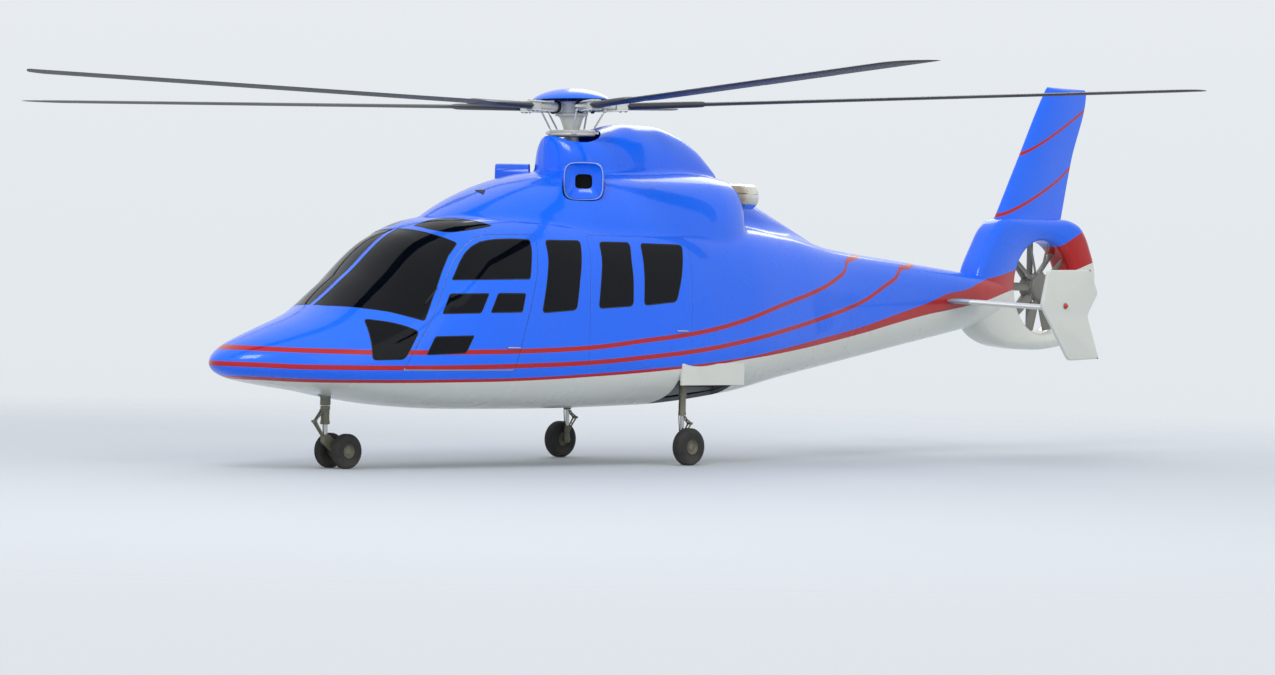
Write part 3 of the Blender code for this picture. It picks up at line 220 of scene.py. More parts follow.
def addPiece(name, shapes, finishes, replaces=(), body="airframe", sharp=35.0):
    # One object from its shapes: points, corners and faces go into the mesh as whole arrays.
    shape = joined(shapes if isinstance(shapes, list) else [shapes])
    finishes = [finishes] if isinstance(finishes, str) else finishes
    faces = shape["faces"]
    corners = np.concatenate([f.ravel() for f in faces])
    sizes = np.concatenate([np.full(len(f), f.shape[1]) for f in faces])
    numbers = np.concatenate([np.full(len(f), s) for f, s in zip(faces, shape["slots"])])
    mesh = bpy.data.meshes.new(name)
    mesh.vertices.add(len(shape["points"]))
    mesh.vertices.foreach_set("co", shape["points"].astype(np.float32).ravel())
    mesh.loops.add(len(corners))
    mesh.loops.foreach_set("vertex_index", corners.astype(np.int32))
    mesh.polygons.add(len(sizes))
    mesh.polygons.foreach_set("loop_start", np.concatenate([[0], np.cumsum(sizes)[:-1]]).astype(np.int32))
    for finish in finishes:
        mesh.materials.append(materials[finish])
    mesh.polygons.foreach_set("material_index", numbers.astype(np.int32))
    mesh.update(calc_edges=True)
    mesh.shade_smooth()
    mesh.set_sharp_from_angle(angle=math.radians(sharp))
    if any(n is not None for n in shape["normals"]):
        normals = [np.zeros((f.size, 3)) if n is None else n.reshape(-1, 3)
                   for f, n in zip(faces, shape["normals"])]
        mesh.normals_split_custom_set(np.concatenate(normals).tolist())
    obj = bpy.data.objects.new(name, mesh)
    bpy.context.scene.collection.objects.link(obj)
    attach(obj, body)
    if replaces:
        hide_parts(*replaces)
    return obj


# Materials.


def srgb(text):
    # A hex colour turned from sRGB to linear light.
    values = [int(text[k:k + 2], 16) / 255 for k in (1, 3, 5)]
    return (*[v / 12.92 if v <= 0.04045 else ((v + 0.055) / 1.055) ** 2.4 for v in values], 1.0)


def feed(tree, socket, value):
    # Another node's output is linked to the socket; a plain value is set on the socket itself.
    if isinstance(value, bpy.types.NodeSocket):
        tree.links.new(value, socket)
    else:
        socket.default_value = value


def addNode(tree, kind, inputs=None, points=None, ramp=None, **settings):
    # One node with its settings, its curve or ramp, and a value or a link for each input.
    node = tree.nodes.new(kind)
    for key, value in settings.items():
        setattr(node, key, value)
    if points is not None:
        curve = node.mapping.curves[0]
        while len(curve.points) < len(points):
            curve.points.new(0.5, 0.5)
        for spot, (x, y) in zip(curve.points, sorted(points)):
            spot.location = (x, y)
            spot.handle_type = "AUTO"
        node.mapping.update()
    if ramp is not None:
        for element, (place, colour) in zip(list(node.color_ramp.elements), ramp):
            element.position, element.color = place, colour
        for place, colour in ramp[2:]:
            node.color_ramp.elements.new(place).color = colour
    for key, value in (inputs or {}).items():
        feed(tree, node.inputs[key], value)
    return node


def objectPlace(tree):
    return addNode(tree, "ShaderNodeTexCoord").outputs["Object"]


def noise(tree, place, scale, detail):
    return addNode(tree, "ShaderNodeTexNoise", {"Vector": place, "Scale": scale,
                                                "Detail": detail}).outputs["Fac"]


def rangeOf(tree, value, low, high, start=0.0, end=1.0, **settings):
    # A value carried from one range to another.
    return addNode(tree, "ShaderNodeMapRange", {"Value": value, "From Min": low, "From Max": high,
                                                "To Min": start, "To Max": end}, **settings).outputs["Result"]


def calculated(tree, operation, *values, **settings):
    return addNode(tree, "ShaderNodeMath", dict(enumerate(values)), operation=operation,
                   **settings).outputs["Value"]


def blended(tree, factor, first, second):
    return addNode(tree, "ShaderNodeMix", {"Factor": factor, "A": first, "B": second},
                   data_type="RGBA").outputs["Result"]


def addBump(tree, shader, height, strength, distance):
    bump = addNode(tree, "ShaderNodeBump", {"Height": height, "Strength": strength, "Distance": distance})
    feed(tree, shader.inputs["Normal"], bump.outputs["Normal"])


def newMaterial(name, **sockets):
    material = bpy.data.materials.new(name)
    material.use_nodes = True
    tree = material.node_tree
    shader = tree.nodes["Principled BSDF"]
    for key, value in sockets.items():
        shader.inputs[key.replace("_", " ")].default_value = value
    return material, tree, shader


def finishSurface(tree, shader, base, grain, depth, dirt):
    # Wear shared by the finishes: dust by broad noise, roughness that varies with it, and a fine bump.
    place = objectPlace(tree)
    broad = noise(tree, place, 1.5, 5.0)
    dusty = rangeOf(tree, broad, 0.45, 0.8, 0.0, dirt)
    feed(tree, shader.inputs["Base Color"], blended(tree, dusty, base, srgb("#8f8a80")))
    rough = shader.inputs["Roughness"].default_value
    feed(tree, shader.inputs["Roughness"], rangeOf(tree, broad, 0.3, 0.7, rough, rough + 0.05))
    addBump(tree, shader, noise(tree, place, grain, 3.0), 0.5, depth)


paintColours = {"blue": "#0466f4", "red": "#b0060b", "white": "#d6d8d0"}
paintRange = {"front": 5.4, "rear": -7.8, "low": 0.5, "high": 4.5}
# Each line is a stripe's middle as (x, z); its last points lead it out of sight.
upperStripe = ((5.40, 1.155), (5.142, 1.152), (4.993, 1.145), (4.681, 1.135), (4.34, 1.129), (4.083, 1.124),
               (3.565, 1.128), (2.889, 1.137), (2.202, 1.152), (1.342, 1.195), (0.790, 1.252),
               (-0.059, 1.346), (-0.693, 1.458), (-1.385, 1.629), (-2.163, 1.812), (-2.480, 1.915),
               (-2.719, 2.018), (-2.820, 2.118), (-3.182, 2.199), (-3.40, 2.40), (-4.0, 4.0))
middleStripe = ((5.40, 1.003), (5.032, 0.994), (4.706, 0.982), (4.355, 0.980), (3.773, 0.981), (2.382, 1.005),
                (1.334, 1.045), (0.787, 1.086), (-0.065, 1.164), (-0.699, 1.248), (-1.393, 1.359),
                (-2.163, 1.500), (-2.963, 1.678), (-3.462, 1.869), (-3.758, 1.993), (-3.820, 2.052),
                (-4.203, 2.122), (-4.40, 2.40), (-5.0, 4.0))
stripeLines = ((upperStripe, 0.046), (middleStripe, 0.046))  # with their widths
bandTop = ((5.40, 0.889), (4.957, 0.881), (4.634, 0.868), (3.929, 0.866), (3.194, 0.874), (2.345, 0.889),
           (1.308, 0.935), (0.767, 0.967), (0.211, 1.004), (-0.392, 1.053), (-0.798, 1.094), (-1.411, 1.176),
           (-2.184, 1.288), (-2.981, 1.413), (-3.749, 1.577), (-4.33, 1.705), (-4.659, 1.798),
           (-5.076, 1.860), (-5.322, 1.932), (-5.873, 2.048), (-6.770, 2.345), (-7.175, 2.521), (-7.60, 2.71))
bandBottom = ((5.40, 0.859), (4.957, 0.851), (4.634, 0.838), (3.929, 0.836), (3.194, 0.844), (2.345, 0.859),
              (1.308, 0.905), (0.758, 0.937), (0.204, 0.977), (-0.398, 1.027), (-0.803, 1.071),
              (-1.423, 1.135), (-2.206, 1.229), (-3.003, 1.343), (-3.766, 1.478), (-4.342, 1.572),
              (-4.668, 1.614), (-5.428, 1.732), (-5.893, 1.837), (-7.172, 2.119), (-7.346, 2.173),
              (-7.60, 2.240))
lowerFinStripe = ((-5.70, 2.655), (-5.77, 2.678), (-5.972, 2.738), (-6.278, 2.855), (-6.610, 2.999),
                  (-6.960, 3.162), (-7.129, 3.262), (-7.40, 3.41))
upperFinStripe = ((-6.10, 3.345), (-6.190, 3.386), (-6.746, 3.642), (-7.350, 3.940), (-7.60, 4.06))
finLines = ((lowerFinStripe, 0.040), (upperFinStripe, 0.036))


def paintMasks(tree, lines, bands):
    # Colour by place: a point is red within half a width of a stripe's middle height, a curve of x, and it
    # takes a band's colour where it lies under the band's top.
    span, rise = paintRange["front"] - paintRange["rear"], paintRange["high"] - paintRange["low"]
    parts = addNode(tree, "ShaderNodeSeparateXYZ", {"Vector": objectPlace(tree)}).outputs
    along = rangeOf(tree, parts["X"], paintRange["rear"], paintRange["front"])
    height = rangeOf(tree, parts["Z"], paintRange["low"], paintRange["high"])
    rows = [(line, "red", width) for line, width in lines] + [(*band, None) for band in bands]
    colour = srgb(paintColours["blue"])
    for line, tint, width in rows:
        points = [((x - paintRange["rear"]) / span, (z - paintRange["low"]) / rise) for x, z in line]
        curve = addNode(tree, "ShaderNodeFloatCurve", {"Value": along}, points=points).outputs["Value"]
        on = (calculated(tree, "LESS_THAN", height, curve) if width is None
              else calculated(tree, "COMPARE", height, curve, width / 2 / rise))
        colour = blended(tree, on, colour, srgb(paintColours[tint]))
    return colour


def makeMaterials():
    # Two-pack polyurethane over composite: a deep clear gloss with a faint orange peel about 3 mm across.
    gloss = {"Coat_Weight": 0.5, "Coat_Roughness": 0.04, "Specular_IOR_Level": 0.22}
    bands = ((bandTop, "red"), (bandBottom, "white"))
    made = {}
    for name, lines, edges in (("stripedGlossPaint", stripeLines, bands), ("finGlossPaint", finLines, ()),
                               ("shroudGlossPaint", (), bands)):
        material, tree, shader = newMaterial(name, Roughness=0.25, **gloss)
        finishSurface(tree, shader, paintMasks(tree, lines, edges), 330.0, 0.00003, 0.05)
        made[name] = material
    plain = (
        # name, colour, roughness, metallic, grain, depth, dirt
        ("blueGlossPaint", paintColours["blue"], 0.25, 0.0, 330.0, 0.00003, 0.05),
        ("paleSatinPaint", paintColours["white"], 0.34, 0.0, 300.0, 0.00004, 0.12),
        ("greyBluePaint", "#8f9aa8", 0.38, 0.0, 300.0, 0.00004, 0.10),
        ("oliveLegPaint", "#6c6a58", 0.42, 0.0, 420.0, 0.00006, 0.20),
        ("paleHubPaint", "#c9cac4", 0.38, 0.15, 500.0, 0.00005, 0.18),
        ("brightSteel", "#b9bab8", 0.22, 1.0, 700.0, 0.00003, 0.10),
        ("dullSteel", "#8a8a86", 0.45, 1.0, 600.0, 0.00006, 0.20),
        ("blackBladePaint", "#26282c", 0.46, 0.0, 260.0, 0.00008, 0.16),
        ("greyFanPaint", "#77766f", 0.46, 0.2, 380.0, 0.00006, 0.20),
        ("blackRubber", "#17181a", 0.62, 0.0, 500.0, 0.00010, 0.10),
        ("paleSeal", "#a9b2b8", 0.55, 0.0, 500.0, 0.00006, 0.08),
        ("cabinTrim", "#6b6e72", 0.70, 0.0, 350.0, 0.00020, 0.10),
        # Black for the seat frames and the instrument panel, and painted shade in the intake throats and on
        # the cowling.
        ("blackPanelPaint", "#1b1c1e", 0.60, 0.0, 420.0, 0.00015, 0.08),
        ("floorMetal", "#7d8083", 0.50, 0.6, 180.0, 0.00020, 0.25),
        ("castMetal", "#6f7072", 0.55, 0.8, 160.0, 0.00030, 0.30),
        ("bayPrimer", "#7c7f6c", 0.60, 0.0, 260.0, 0.00010, 0.30),
    )
    for name, colour, roughness, metallic, grain, depth, dirt in plain:
        coat = gloss if name == "blueGlossPaint" else {}
        material, tree, shader = newMaterial(name, Roughness=roughness, Metallic=metallic, **coat)
        finishSurface(tree, shader, srgb(colour), grain, depth, dirt)
        made[name] = material
    made["tyreRubber"] = tyreMaterial()
    made["heatedSteel"] = exhaustMaterial()
    made["seatCloth"] = clothMaterial()
    made["tintedAcrylic"] = glassMaterial()
    for name, colour in (("redLens", "#c80a0e"), ("greenLens", "#0a8f3c")):
        material, tree, shader = newMaterial(name, Roughness=0.08, IOR=1.49, Coat_Weight=0.5)
        finishSurface(tree, shader, srgb(colour), 250.0, 0.00006, 0.03)
        made[name] = material
    return made


def glassMaterial():
    # Dark tinted acrylic: most light is soaked up, and the surface mirrors the sky at a glancing angle.
    material, tree, shader = newMaterial("tintedAcrylic", Roughness=0.03, IOR=1.49, Coat_Weight=0.0,
                                         Specular_IOR_Level=0.22)
    shader.inputs["Base Color"].default_value = srgb("#03070f")
    place = objectPlace(tree)
    drift = noise(tree, place, 1.2, 3.0)
    feed(tree, shader.inputs["Alpha"], rangeOf(tree, drift, 0.0, 1.0, 0.80, 0.88))
    feed(tree, shader.inputs["Roughness"], rangeOf(tree, drift, 0.0, 1.0, 0.02, 0.06))
    addBump(tree, shader, noise(tree, place, 3.0, 1.0), 0.2, 0.002)
    return material


def tyreMaterial():
    # Black tyre compound: matt, a little brown with dust where it meets the ground, moulded about 1 mm grain.
    material, tree, shader = newMaterial("tyreRubber", Roughness=0.72)
    place = objectPlace(tree)
    height = addNode(tree, "ShaderNodeSeparateXYZ", {"Vector": place}).outputs["Z"]
    dusty = calculated(tree, "MULTIPLY", rangeOf(tree, height, 0.0, 0.12, 0.75, 0.15),
                       noise(tree, place, 28.0, 6.0))
    feed(tree, shader.inputs["Base Color"], blended(tree, dusty, srgb("#1b1b1c"), srgb("#6b655b")))
    addBump(tree, shader, noise(tree, place, 900.0, 2.0), 0.6, 0.0003)
    return material


def exhaustMaterial():
    # Stainless steel, brushed round the pipe and tinted straw to brown towards its hot end.
    material, tree, shader = newMaterial("heatedSteel", Metallic=1.0, Roughness=0.14)
    place = objectPlace(tree)
    along = addNode(tree, "ShaderNodeSeparateXYZ", {"Vector": place}).outputs["X"]
    shifted = calculated(tree, "MULTIPLY_ADD", noise(tree, place, 9.0, 4.0), 0.10, along)
    tint = addNode(tree, "ShaderNodeValToRGB", {"Fac": rangeOf(tree, shifted, -1.36, -1.05)}, ramp=(
        (0.0, srgb("#e6e6e6")), (1.0, srgb("#a09482")), (0.45, srgb("#dddcd8")), (0.80, srgb("#c9c2b4"))))
    feed(tree, shader.inputs["Base Color"], tint.outputs["Color"])
    stretched = addNode(tree, "ShaderNodeMapping", {"Vector": place, "Scale": (900.0, 30.0, 30.0)})
    addBump(tree, shader, noise(tree, stretched.outputs["Vector"], 1.0, 2.0), 0.3, 0.00005)
    return material


def clothMaterial():
    # Woven seat cloth, dark grey, with threads 1.5 mm apart, drawn twice as coarse so that they show.
    material, tree, shader = newMaterial("seatCloth", Roughness=0.9, Sheen_Weight=0.3)
    place = objectPlace(tree)
    warp, weft = (addNode(tree, "ShaderNodeTexWave", {"Vector": place, "Scale": 105.0, "Distortion": 0.4},
                          bands_direction=way).outputs["Fac"] for way in ("X", "Z"))
    weave = calculated(tree, "MULTIPLY", warp, weft)
    feed(tree, shader.inputs["Base Color"], blended(tree, weave, srgb("#24262b"), srgb("#3d4046")))
    addBump(tree, shader, weave, 0.6, 0.0006)
    return material


materials = makeMaterials()
print("materials made")


# The hull: few sections from the nose to the tail fan's housing, joined by one smooth surface.

noseTip = 5.283
# x, belly z, widest z, top z, half width, upper roundness, lower roundness
hullTable = np.array((
    (noseTip, 1.005, 1.005, 1.005, 0.000, 2.0, 2.0), (5.120, 0.870, 1.000, 1.170, 0.285, 2.1, 2.1),
    (4.650, 0.785, 0.990, 1.360, 0.560, 2.0, 2.2), (4.200, 0.728, 0.990, 1.535, 0.745, 2.0, 2.3),
    (3.750, 0.655, 1.020, 1.855, 0.870, 2.05, 2.4), (3.200, 0.590, 1.080, 2.275, 0.965, 2.3, 2.6),
    (2.700, 0.564, 1.150, 2.430, 1.005, 3.0, 2.8), (1.600, 0.558, 1.200, 2.500, 1.030, 4.3, 3.0),
    (0.200, 0.585, 1.220, 2.510, 1.030, 4.3, 3.0), (-0.900, 0.680, 1.280, 2.490, 0.950, 4.0, 2.9),
    (-1.900, 0.845, 1.400, 2.410, 0.780, 3.6, 2.7), (-2.800, 0.985, 1.520, 2.265, 0.600, 3.4, 2.5),
    (-4.100, 1.205, 1.650, 2.150, 0.410, 3.0, 2.4), (-5.450, 1.440, 1.770, 2.030, 0.260, 2.6, 2.2),
    (-6.000, 1.560, 1.820, 1.980, 0.170, 2.2, 2.2),
))


def smoothCurve(known, values):
    # Cubics through the rows; each row's slope is the weighted harmonic mean of the slopes on its two sides.
    known, values = np.asarray(known, float), np.asarray(values, float)
    steps = np.diff(known)
    slopes = np.diff(values, axis=0) / steps[:, None]
    tangents = np.zeros_like(values)
    tangents[0], tangents[-1] = slopes[0], slopes[-1]
    before, after = slopes[:-1], slopes[1:]
    one, two = (2 * steps[1:] + steps[:-1])[:, None], (steps[1:] + 2 * steps[:-1])[:, None]
    same = before * after > 0
    mean = (one + two) / (one / np.where(same, before, 1.0) + two / np.where(same, after, 1.0))
    tangents[1:-1] = np.where(same, mean, 0.0)

    def at(wanted):
        wanted = np.asarray(wanted, float)
        flat = wanted.ravel()
        k = np.clip(np.searchsorted(known, flat, side="right") - 1, 0, len(steps) - 1)
        t, step = ((flat - known[k]) / steps[k])[:, None], steps[k][:, None]
        result = ((2 * t**3 - 3 * t**2 + 1) * values[k] + (t**3 - 2 * t**2 + t) * step * tangents[k]
                  + (3 * t**2 - 2 * t**3) * values[k + 1] + (t**3 - t**2) * step * tangents[k + 1])
        return result.reshape(*wanted.shape, values.shape[1])

    return at


hullCurve = smoothCurve(np.sqrt(noseTip - hullTable[:, 0]), hullTable[:, 1:])


def hullRow(x):
    return np.moveaxis(hullCurve(np.sqrt(np.maximum(noseTip - np.asarray(x, float), 0.0))), -1, 0)


def hullPoint(x, angle):
    # Each section is a rounded box, |y/half|^n + |z/height|^n = 1, followed by its polar angle.
    belly, widest, top, half, upper, lower = hullRow(x)
    across, up = np.cos(angle), np.sin(angle)
    power = np.where(up >= 0, upper, lower)
    reach = boxReach(across, up, power)
    height = np.where(up >= 0, top - widest, widest - belly)
    return np.stack([x + 0 * angle, half * across * reach, widest + height * up * reach], -1)


def hullNormal(x, angle):
    # The cross product of the surface's slopes along the angle and along x, by small differences.
    e = 2e-4
    alongX = hullPoint(x + e, angle) - hullPoint(x - e, angle)
    alongAngle = hullPoint(x, angle + e) - hullPoint(x, angle - e)
    normal = np.cross(alongAngle, alongX)
    return normal / np.linalg.norm(normal, axis=-1, keepdims=True)


def sideAngle(x, z):
    # The angle of the hull's point at height z on the left side; heights past the top or belly stop there.
    belly, widest, top, _, upper, lower = hullRow(x)
    above = z >= widest
    part = np.clip(np.abs(z - widest) / np.where(above, top - widest, widest - belly), 0.0, 1.0)
    power = np.where(above, upper, lower)
    return np.arctan2(np.where(above, part, -part), boxHeight(part, power))


def roofAngle(x, y):
    # The angle of the hull's upper point at a distance y from the centre plane.
    half, upper = hullRow(x)[3:5]
    part = np.clip(np.abs(y) / half, 0.0, 1.0)
    return np.arctan2(boxHeight(part, upper), part)


def bellyAngle(x, y):
    # The angle of the hull's lower point at a distance y from the centre plane.
    half, _, lower = hullRow(x)[3:]
    part = np.clip(np.abs(y) / half, 0.0, 1.0)
    return -np.arctan2(boxHeight(part, lower), part)


def hullTop(x, y):
    # The height of the hull's upper surface above a point in plan.
    _, widest, top, half, upper, _ = hullRow(x)
    return widest + (top - widest) * boxHeight(np.clip(np.abs(y) / half, 0, 1), upper)


def insideOutline(points, outline):
    # A point is inside where a line from it crosses the outline an odd number of times.
    x, y = points[:, 0, None], points[:, 1, None]
    a, b = outline, np.roll(outline, -1, 0)
    rise = np.where(np.abs(b[:, 1] - a[:, 1]) < 1e-12, 1e-12, b[:, 1] - a[:, 1])
    crosses = ((a[:, 1] > y) != (b[:, 1] > y)) & (x < (b[:, 0] - a[:, 0]) * (y - a[:, 1]) / rise + a[:, 0])
    return crosses.sum(1) % 2 == 1


def filledSheet(outline, holes, step):
    # Triangles that fill an outline round its holes, over a staggered grid of points away from the borders.
    scale = np.array([1.0 / step[0], 1.0 / step[1]])
    outline, holes = outline * scale, [h * scale for h in holes]
    border = np.concatenate([outline, *holes])
    low, high = outline.min(0), outline.max(0)
    grid = np.stack(np.meshgrid(np.arange(low[0] + 0.5, high[0], 1.0), np.arange(low[1] + 0.5, high[1], 1.0),
                                indexing="ij"), -1)
    grid[::2, :, 1] += 0.5
    grid = grid.reshape(-1, 2)
    keep = insideOutline(grid, outline)
    for hole in holes:
        keep &= ~insideOutline(grid, hole)
    grid = grid[keep]
    if len(grid):
        near = np.array([np.min(np.sum((border - chunk[:, None]) ** 2, -1), 1)
                         for chunk in np.array_split(grid, max(1, len(grid) // 500))], dtype=object)
        grid = grid[np.concatenate(list(near)).astype(float) > 0.3]
    points = np.concatenate([border, grid])
    edges, start = [], 0
    for loop in [outline, *holes]:
        edges += [(start + k, start + (k + 1) % len(loop)) for k in range(len(loop))]
        start += len(loop)
    found = delaunay_2d_cdt([Vector(p) for p in points], edges, [], 0, 1e-6)
    flat, triangles = np.array([tuple(v) for v in found[0]]), np.array(found[2])
    centre = flat[triangles].mean(1)
    keep = insideOutline(centre, outline)
    for hole in holes:
        keep &= ~insideOutline(centre, hole)
    return flat / scale, triangles[keep]


def sheetShape(outline, holes, depths, step=(0.055, 0.035), inner=1, seam=False):
    # A wall that follows the hull between two depths under its skin, inside an outline drawn as (x, angle).
    flat, triangles = filledSheet(outline, holes, step)
    used, triangles = np.unique(triangles, return_inverse=True)
    flat, triangles = flat[used], triangles.reshape(-1, 3)[:, ::-1]
    points, normal = hullPoint(flat[:, 0], flat[:, 1]), hullNormal(flat[:, 0], flat[:, 1])
    if seam:
        centre = np.abs(np.abs(flat[:, 1]) - math.pi / 2) < 1e-6
        points[centre, 1] = normal[centre, 1] = 0.0
    count = len(flat)
    edges = np.concatenate([triangles[:, [0, 1]], triangles[:, [1, 2]], triangles[:, [2, 0]]])
    _, first, times = np.unique(np.sort(edges, 1), axis=0, return_index=True, return_counts=True)
    border = edges[first[times == 1]]
    if seam:
        border = border[~(centre[border[:, 0]] & centre[border[:, 1]])]
    sides = np.stack([border[:, 1], border[:, 0], border[:, 0] + count, border[:, 1] + count], -1)
    both = np.concatenate([points - depths[0] * normal, points - depths[1] * normal])
    return shapeOf(both, [triangles, triangles[:, ::-1] + count, sides], [0, inner, inner],
                   [normal[triangles], -normal[triangles[:, ::-1]], None])


def halfRing(front, rear, step=0.03):
    # The left half of the hull between two places, as an outline in (x, angle).
    x = np.linspace(rear, front, max(2, int((front - rear) / step)))
    angle = np.linspace(-math.pi / 2, math.pi / 2, 110)
    edges = ((0 * angle + rear, angle), (x, 0 * x + math.pi / 2), (0 * angle + front, angle[::-1]),
             (x[::-1], 0 * x - math.pi / 2))
    return np.concatenate([np.stack(edge, -1)[:-1] for edge in edges])


def onSide(outline, radius=0.03, limitY=None, spacing=0.02):
    # A side outline of (x, z) carried to (x, angle), with its corners rounded; it may stop at a centre post.
    soft = softOutline(outline, radius, spacing)
    angle = sideAngle(soft[:, 0], soft[:, 1])
    if limitY is not None:
        angle = np.minimum(angle, roofAngle(soft[:, 0], limitY))
    outline = np.stack([soft[:, 0], angle], -1)
    return outline[np.linalg.norm(outline - np.roll(outline, 1, 0), axis=1) > 0.001]


def onRoof(outline, radius=0.05):
    # A plan outline of (x, y) carried to (x, angle).
    soft = softOutline(outline, radius, 0.015)
    return np.stack([soft[:, 0], roofAngle(soft[:, 0], soft[:, 1])], -1)


hull = {"gap": 0.0003, "wall": 0.040, "rearWall": 0.020, "boomWall": 0.015, "noseJoint": 4.33,
        "cabinJoint": 2.14, "bulkhead": -0.90, "boomJoint": -2.80, "boomEnd": -5.95, "post": 0.028,
        "doorGap": 0.006, "panelGap": 0.003, "gasket": 0.009, "play": 0.0006, "pane": (0.0025, 0.0085),
        "seal": (0.0015, 0.010)}
windscreen = (
    (4.165, 1.552), (4.06, 1.546), (3.95, 1.530), (3.784, 1.503), (3.659, 1.468), (3.484, 1.420),
    (3.347, 1.658), (3.202, 1.877), (3.071, 2.044), (2.924, 2.177), (3.041, 2.258), (3.109, 2.299),
    (3.130, 2.330), (3.160, 2.600), (4.165, 2.600))
chinWindow = ((4.014, 1.441), (4.033, 1.281), (4.051, 1.047), (3.722, 1.058), (3.550, 1.328), (3.680, 1.380),
              (3.809, 1.413))
roofWindow = ((3.047, 0.150), (3.025, 0.380), (2.960, 0.520), (2.872, 0.590), (2.750, 0.635), (2.600, 0.660),
              (2.450, 0.668), (2.530, 0.560), (2.620, 0.400), (2.720, 0.250), (2.850, 0.180))
doorWindows = (
    ((3.133, 1.814), (2.254, 1.839), (2.216, 2.000), (2.182, 2.128), (2.165, 2.232), (2.372, 2.234),
     (2.529, 2.226), (2.635, 2.212), (2.726, 2.193), (2.823, 2.149), (2.916, 2.083), (3.000, 1.993)),
    ((3.301, 1.490), (2.867, 1.504), (2.756, 1.701), (3.181, 1.690)),
    ((2.764, 1.509), (2.363, 1.519), (2.315, 1.709), (2.658, 1.705)),
    ((3.501, 1.101), (3.050, 1.121), (2.949, 1.296), (3.395, 1.283)))
frontDoor = (
    (3.728, 0.967), (2.448, 0.971), (2.352, 1.279), (2.254, 1.600), (2.170, 1.900), (2.095, 2.270),
    (2.400, 2.270), (2.640, 2.255), (2.775, 2.215), (2.895, 2.140), (3.030, 2.020), (3.165, 1.840),
    (3.335, 1.570), (3.425, 1.420), (3.555, 1.246))
cabinWindows = (
    ((2.120, 1.513), (1.658, 1.549), (1.612, 1.847), (1.571, 2.043), (1.538, 2.238), (1.999, 2.232),
     (2.006, 2.053), (2.050, 1.839)),
    ((1.370, 1.566), (0.889, 1.597), (0.883, 1.860), (0.893, 2.058), (0.865, 2.237), (1.296, 2.232),
     (1.301, 2.049), (1.334, 1.852)),
    ((0.746, 1.604), (0.282, 1.647), (0.212, 1.872), (0.167, 2.074), (0.134, 2.230), (0.732, 2.232),
     (0.733, 2.062), (0.736, 1.863)))
cabinDoor = ((1.480, 0.985), (0.060, 1.000), (0.060, 2.290), (1.430, 2.290), (1.480, 1.800))
wheelBay = {"front": 0.18, "rear": -0.78, "inner": 0.50, "top": 0.86}
skin = ("stripedGlossPaint", "cabinTrim")


def frontDoorway(sill=0.030):
    # The door's outline with its gap all round, and its sill lowered along the two side edges.
    outline = movedOutline(frontDoor, hull["doorGap"])
    for low, above in ((0, -1), (1, 2)):
        edge = outline[above] - outline[low]
        outline[low] -= edge * (sill / edge[1])
    return outline


def clippedDoorway(outline, front, rear):
    # An outline cut off at the two ends of a panel, so that the panel's own edge carries on.
    inside = np.clip(outline[:, 0], rear, front)
    return np.stack([inside, outline[:, 1]], -1)


def bothHalves(outline, holes, depths, **options):
    # The two halves of a wall that meet on the centre plane.
    half = sheetShape(outline, holes, depths, seam=True, **options)
    return [half, mirrored(half)]


def noseShape():
    # The nose is a grid of rings packed towards the tip, with a second skin inside it and a rim between.
    columns = 144
    u = np.linspace(0.02, math.sqrt(noseTip - hull["noseJoint"] - hull["gap"]), 44)[:, None]
    angle = np.linspace(0, 2 * math.pi, columns, endpoint=False)[None, :]
    x = noseTip - u**2 + 0 * angle
    outer, normal = hullPoint(x, angle + 0 * x), hullNormal(x, angle + 0 * x)
    solidRings = 12  # the nose is solid as far as this ring
    inner = (outer - hull["wall"] * normal)[solidRings:]
    inner[:, :, 0] = np.minimum(inner[:, :, 0], outer[solidRings:, :, 0])
    grid = np.concatenate([outer, inner[::-1]])
    ends = [row * columns + np.arange(columns)[None, :] for row in (0, len(grid) - 1)]
    return outward(shapeOf(grid.reshape(-1, 3), [gridFaces(len(grid), columns), *ends]))


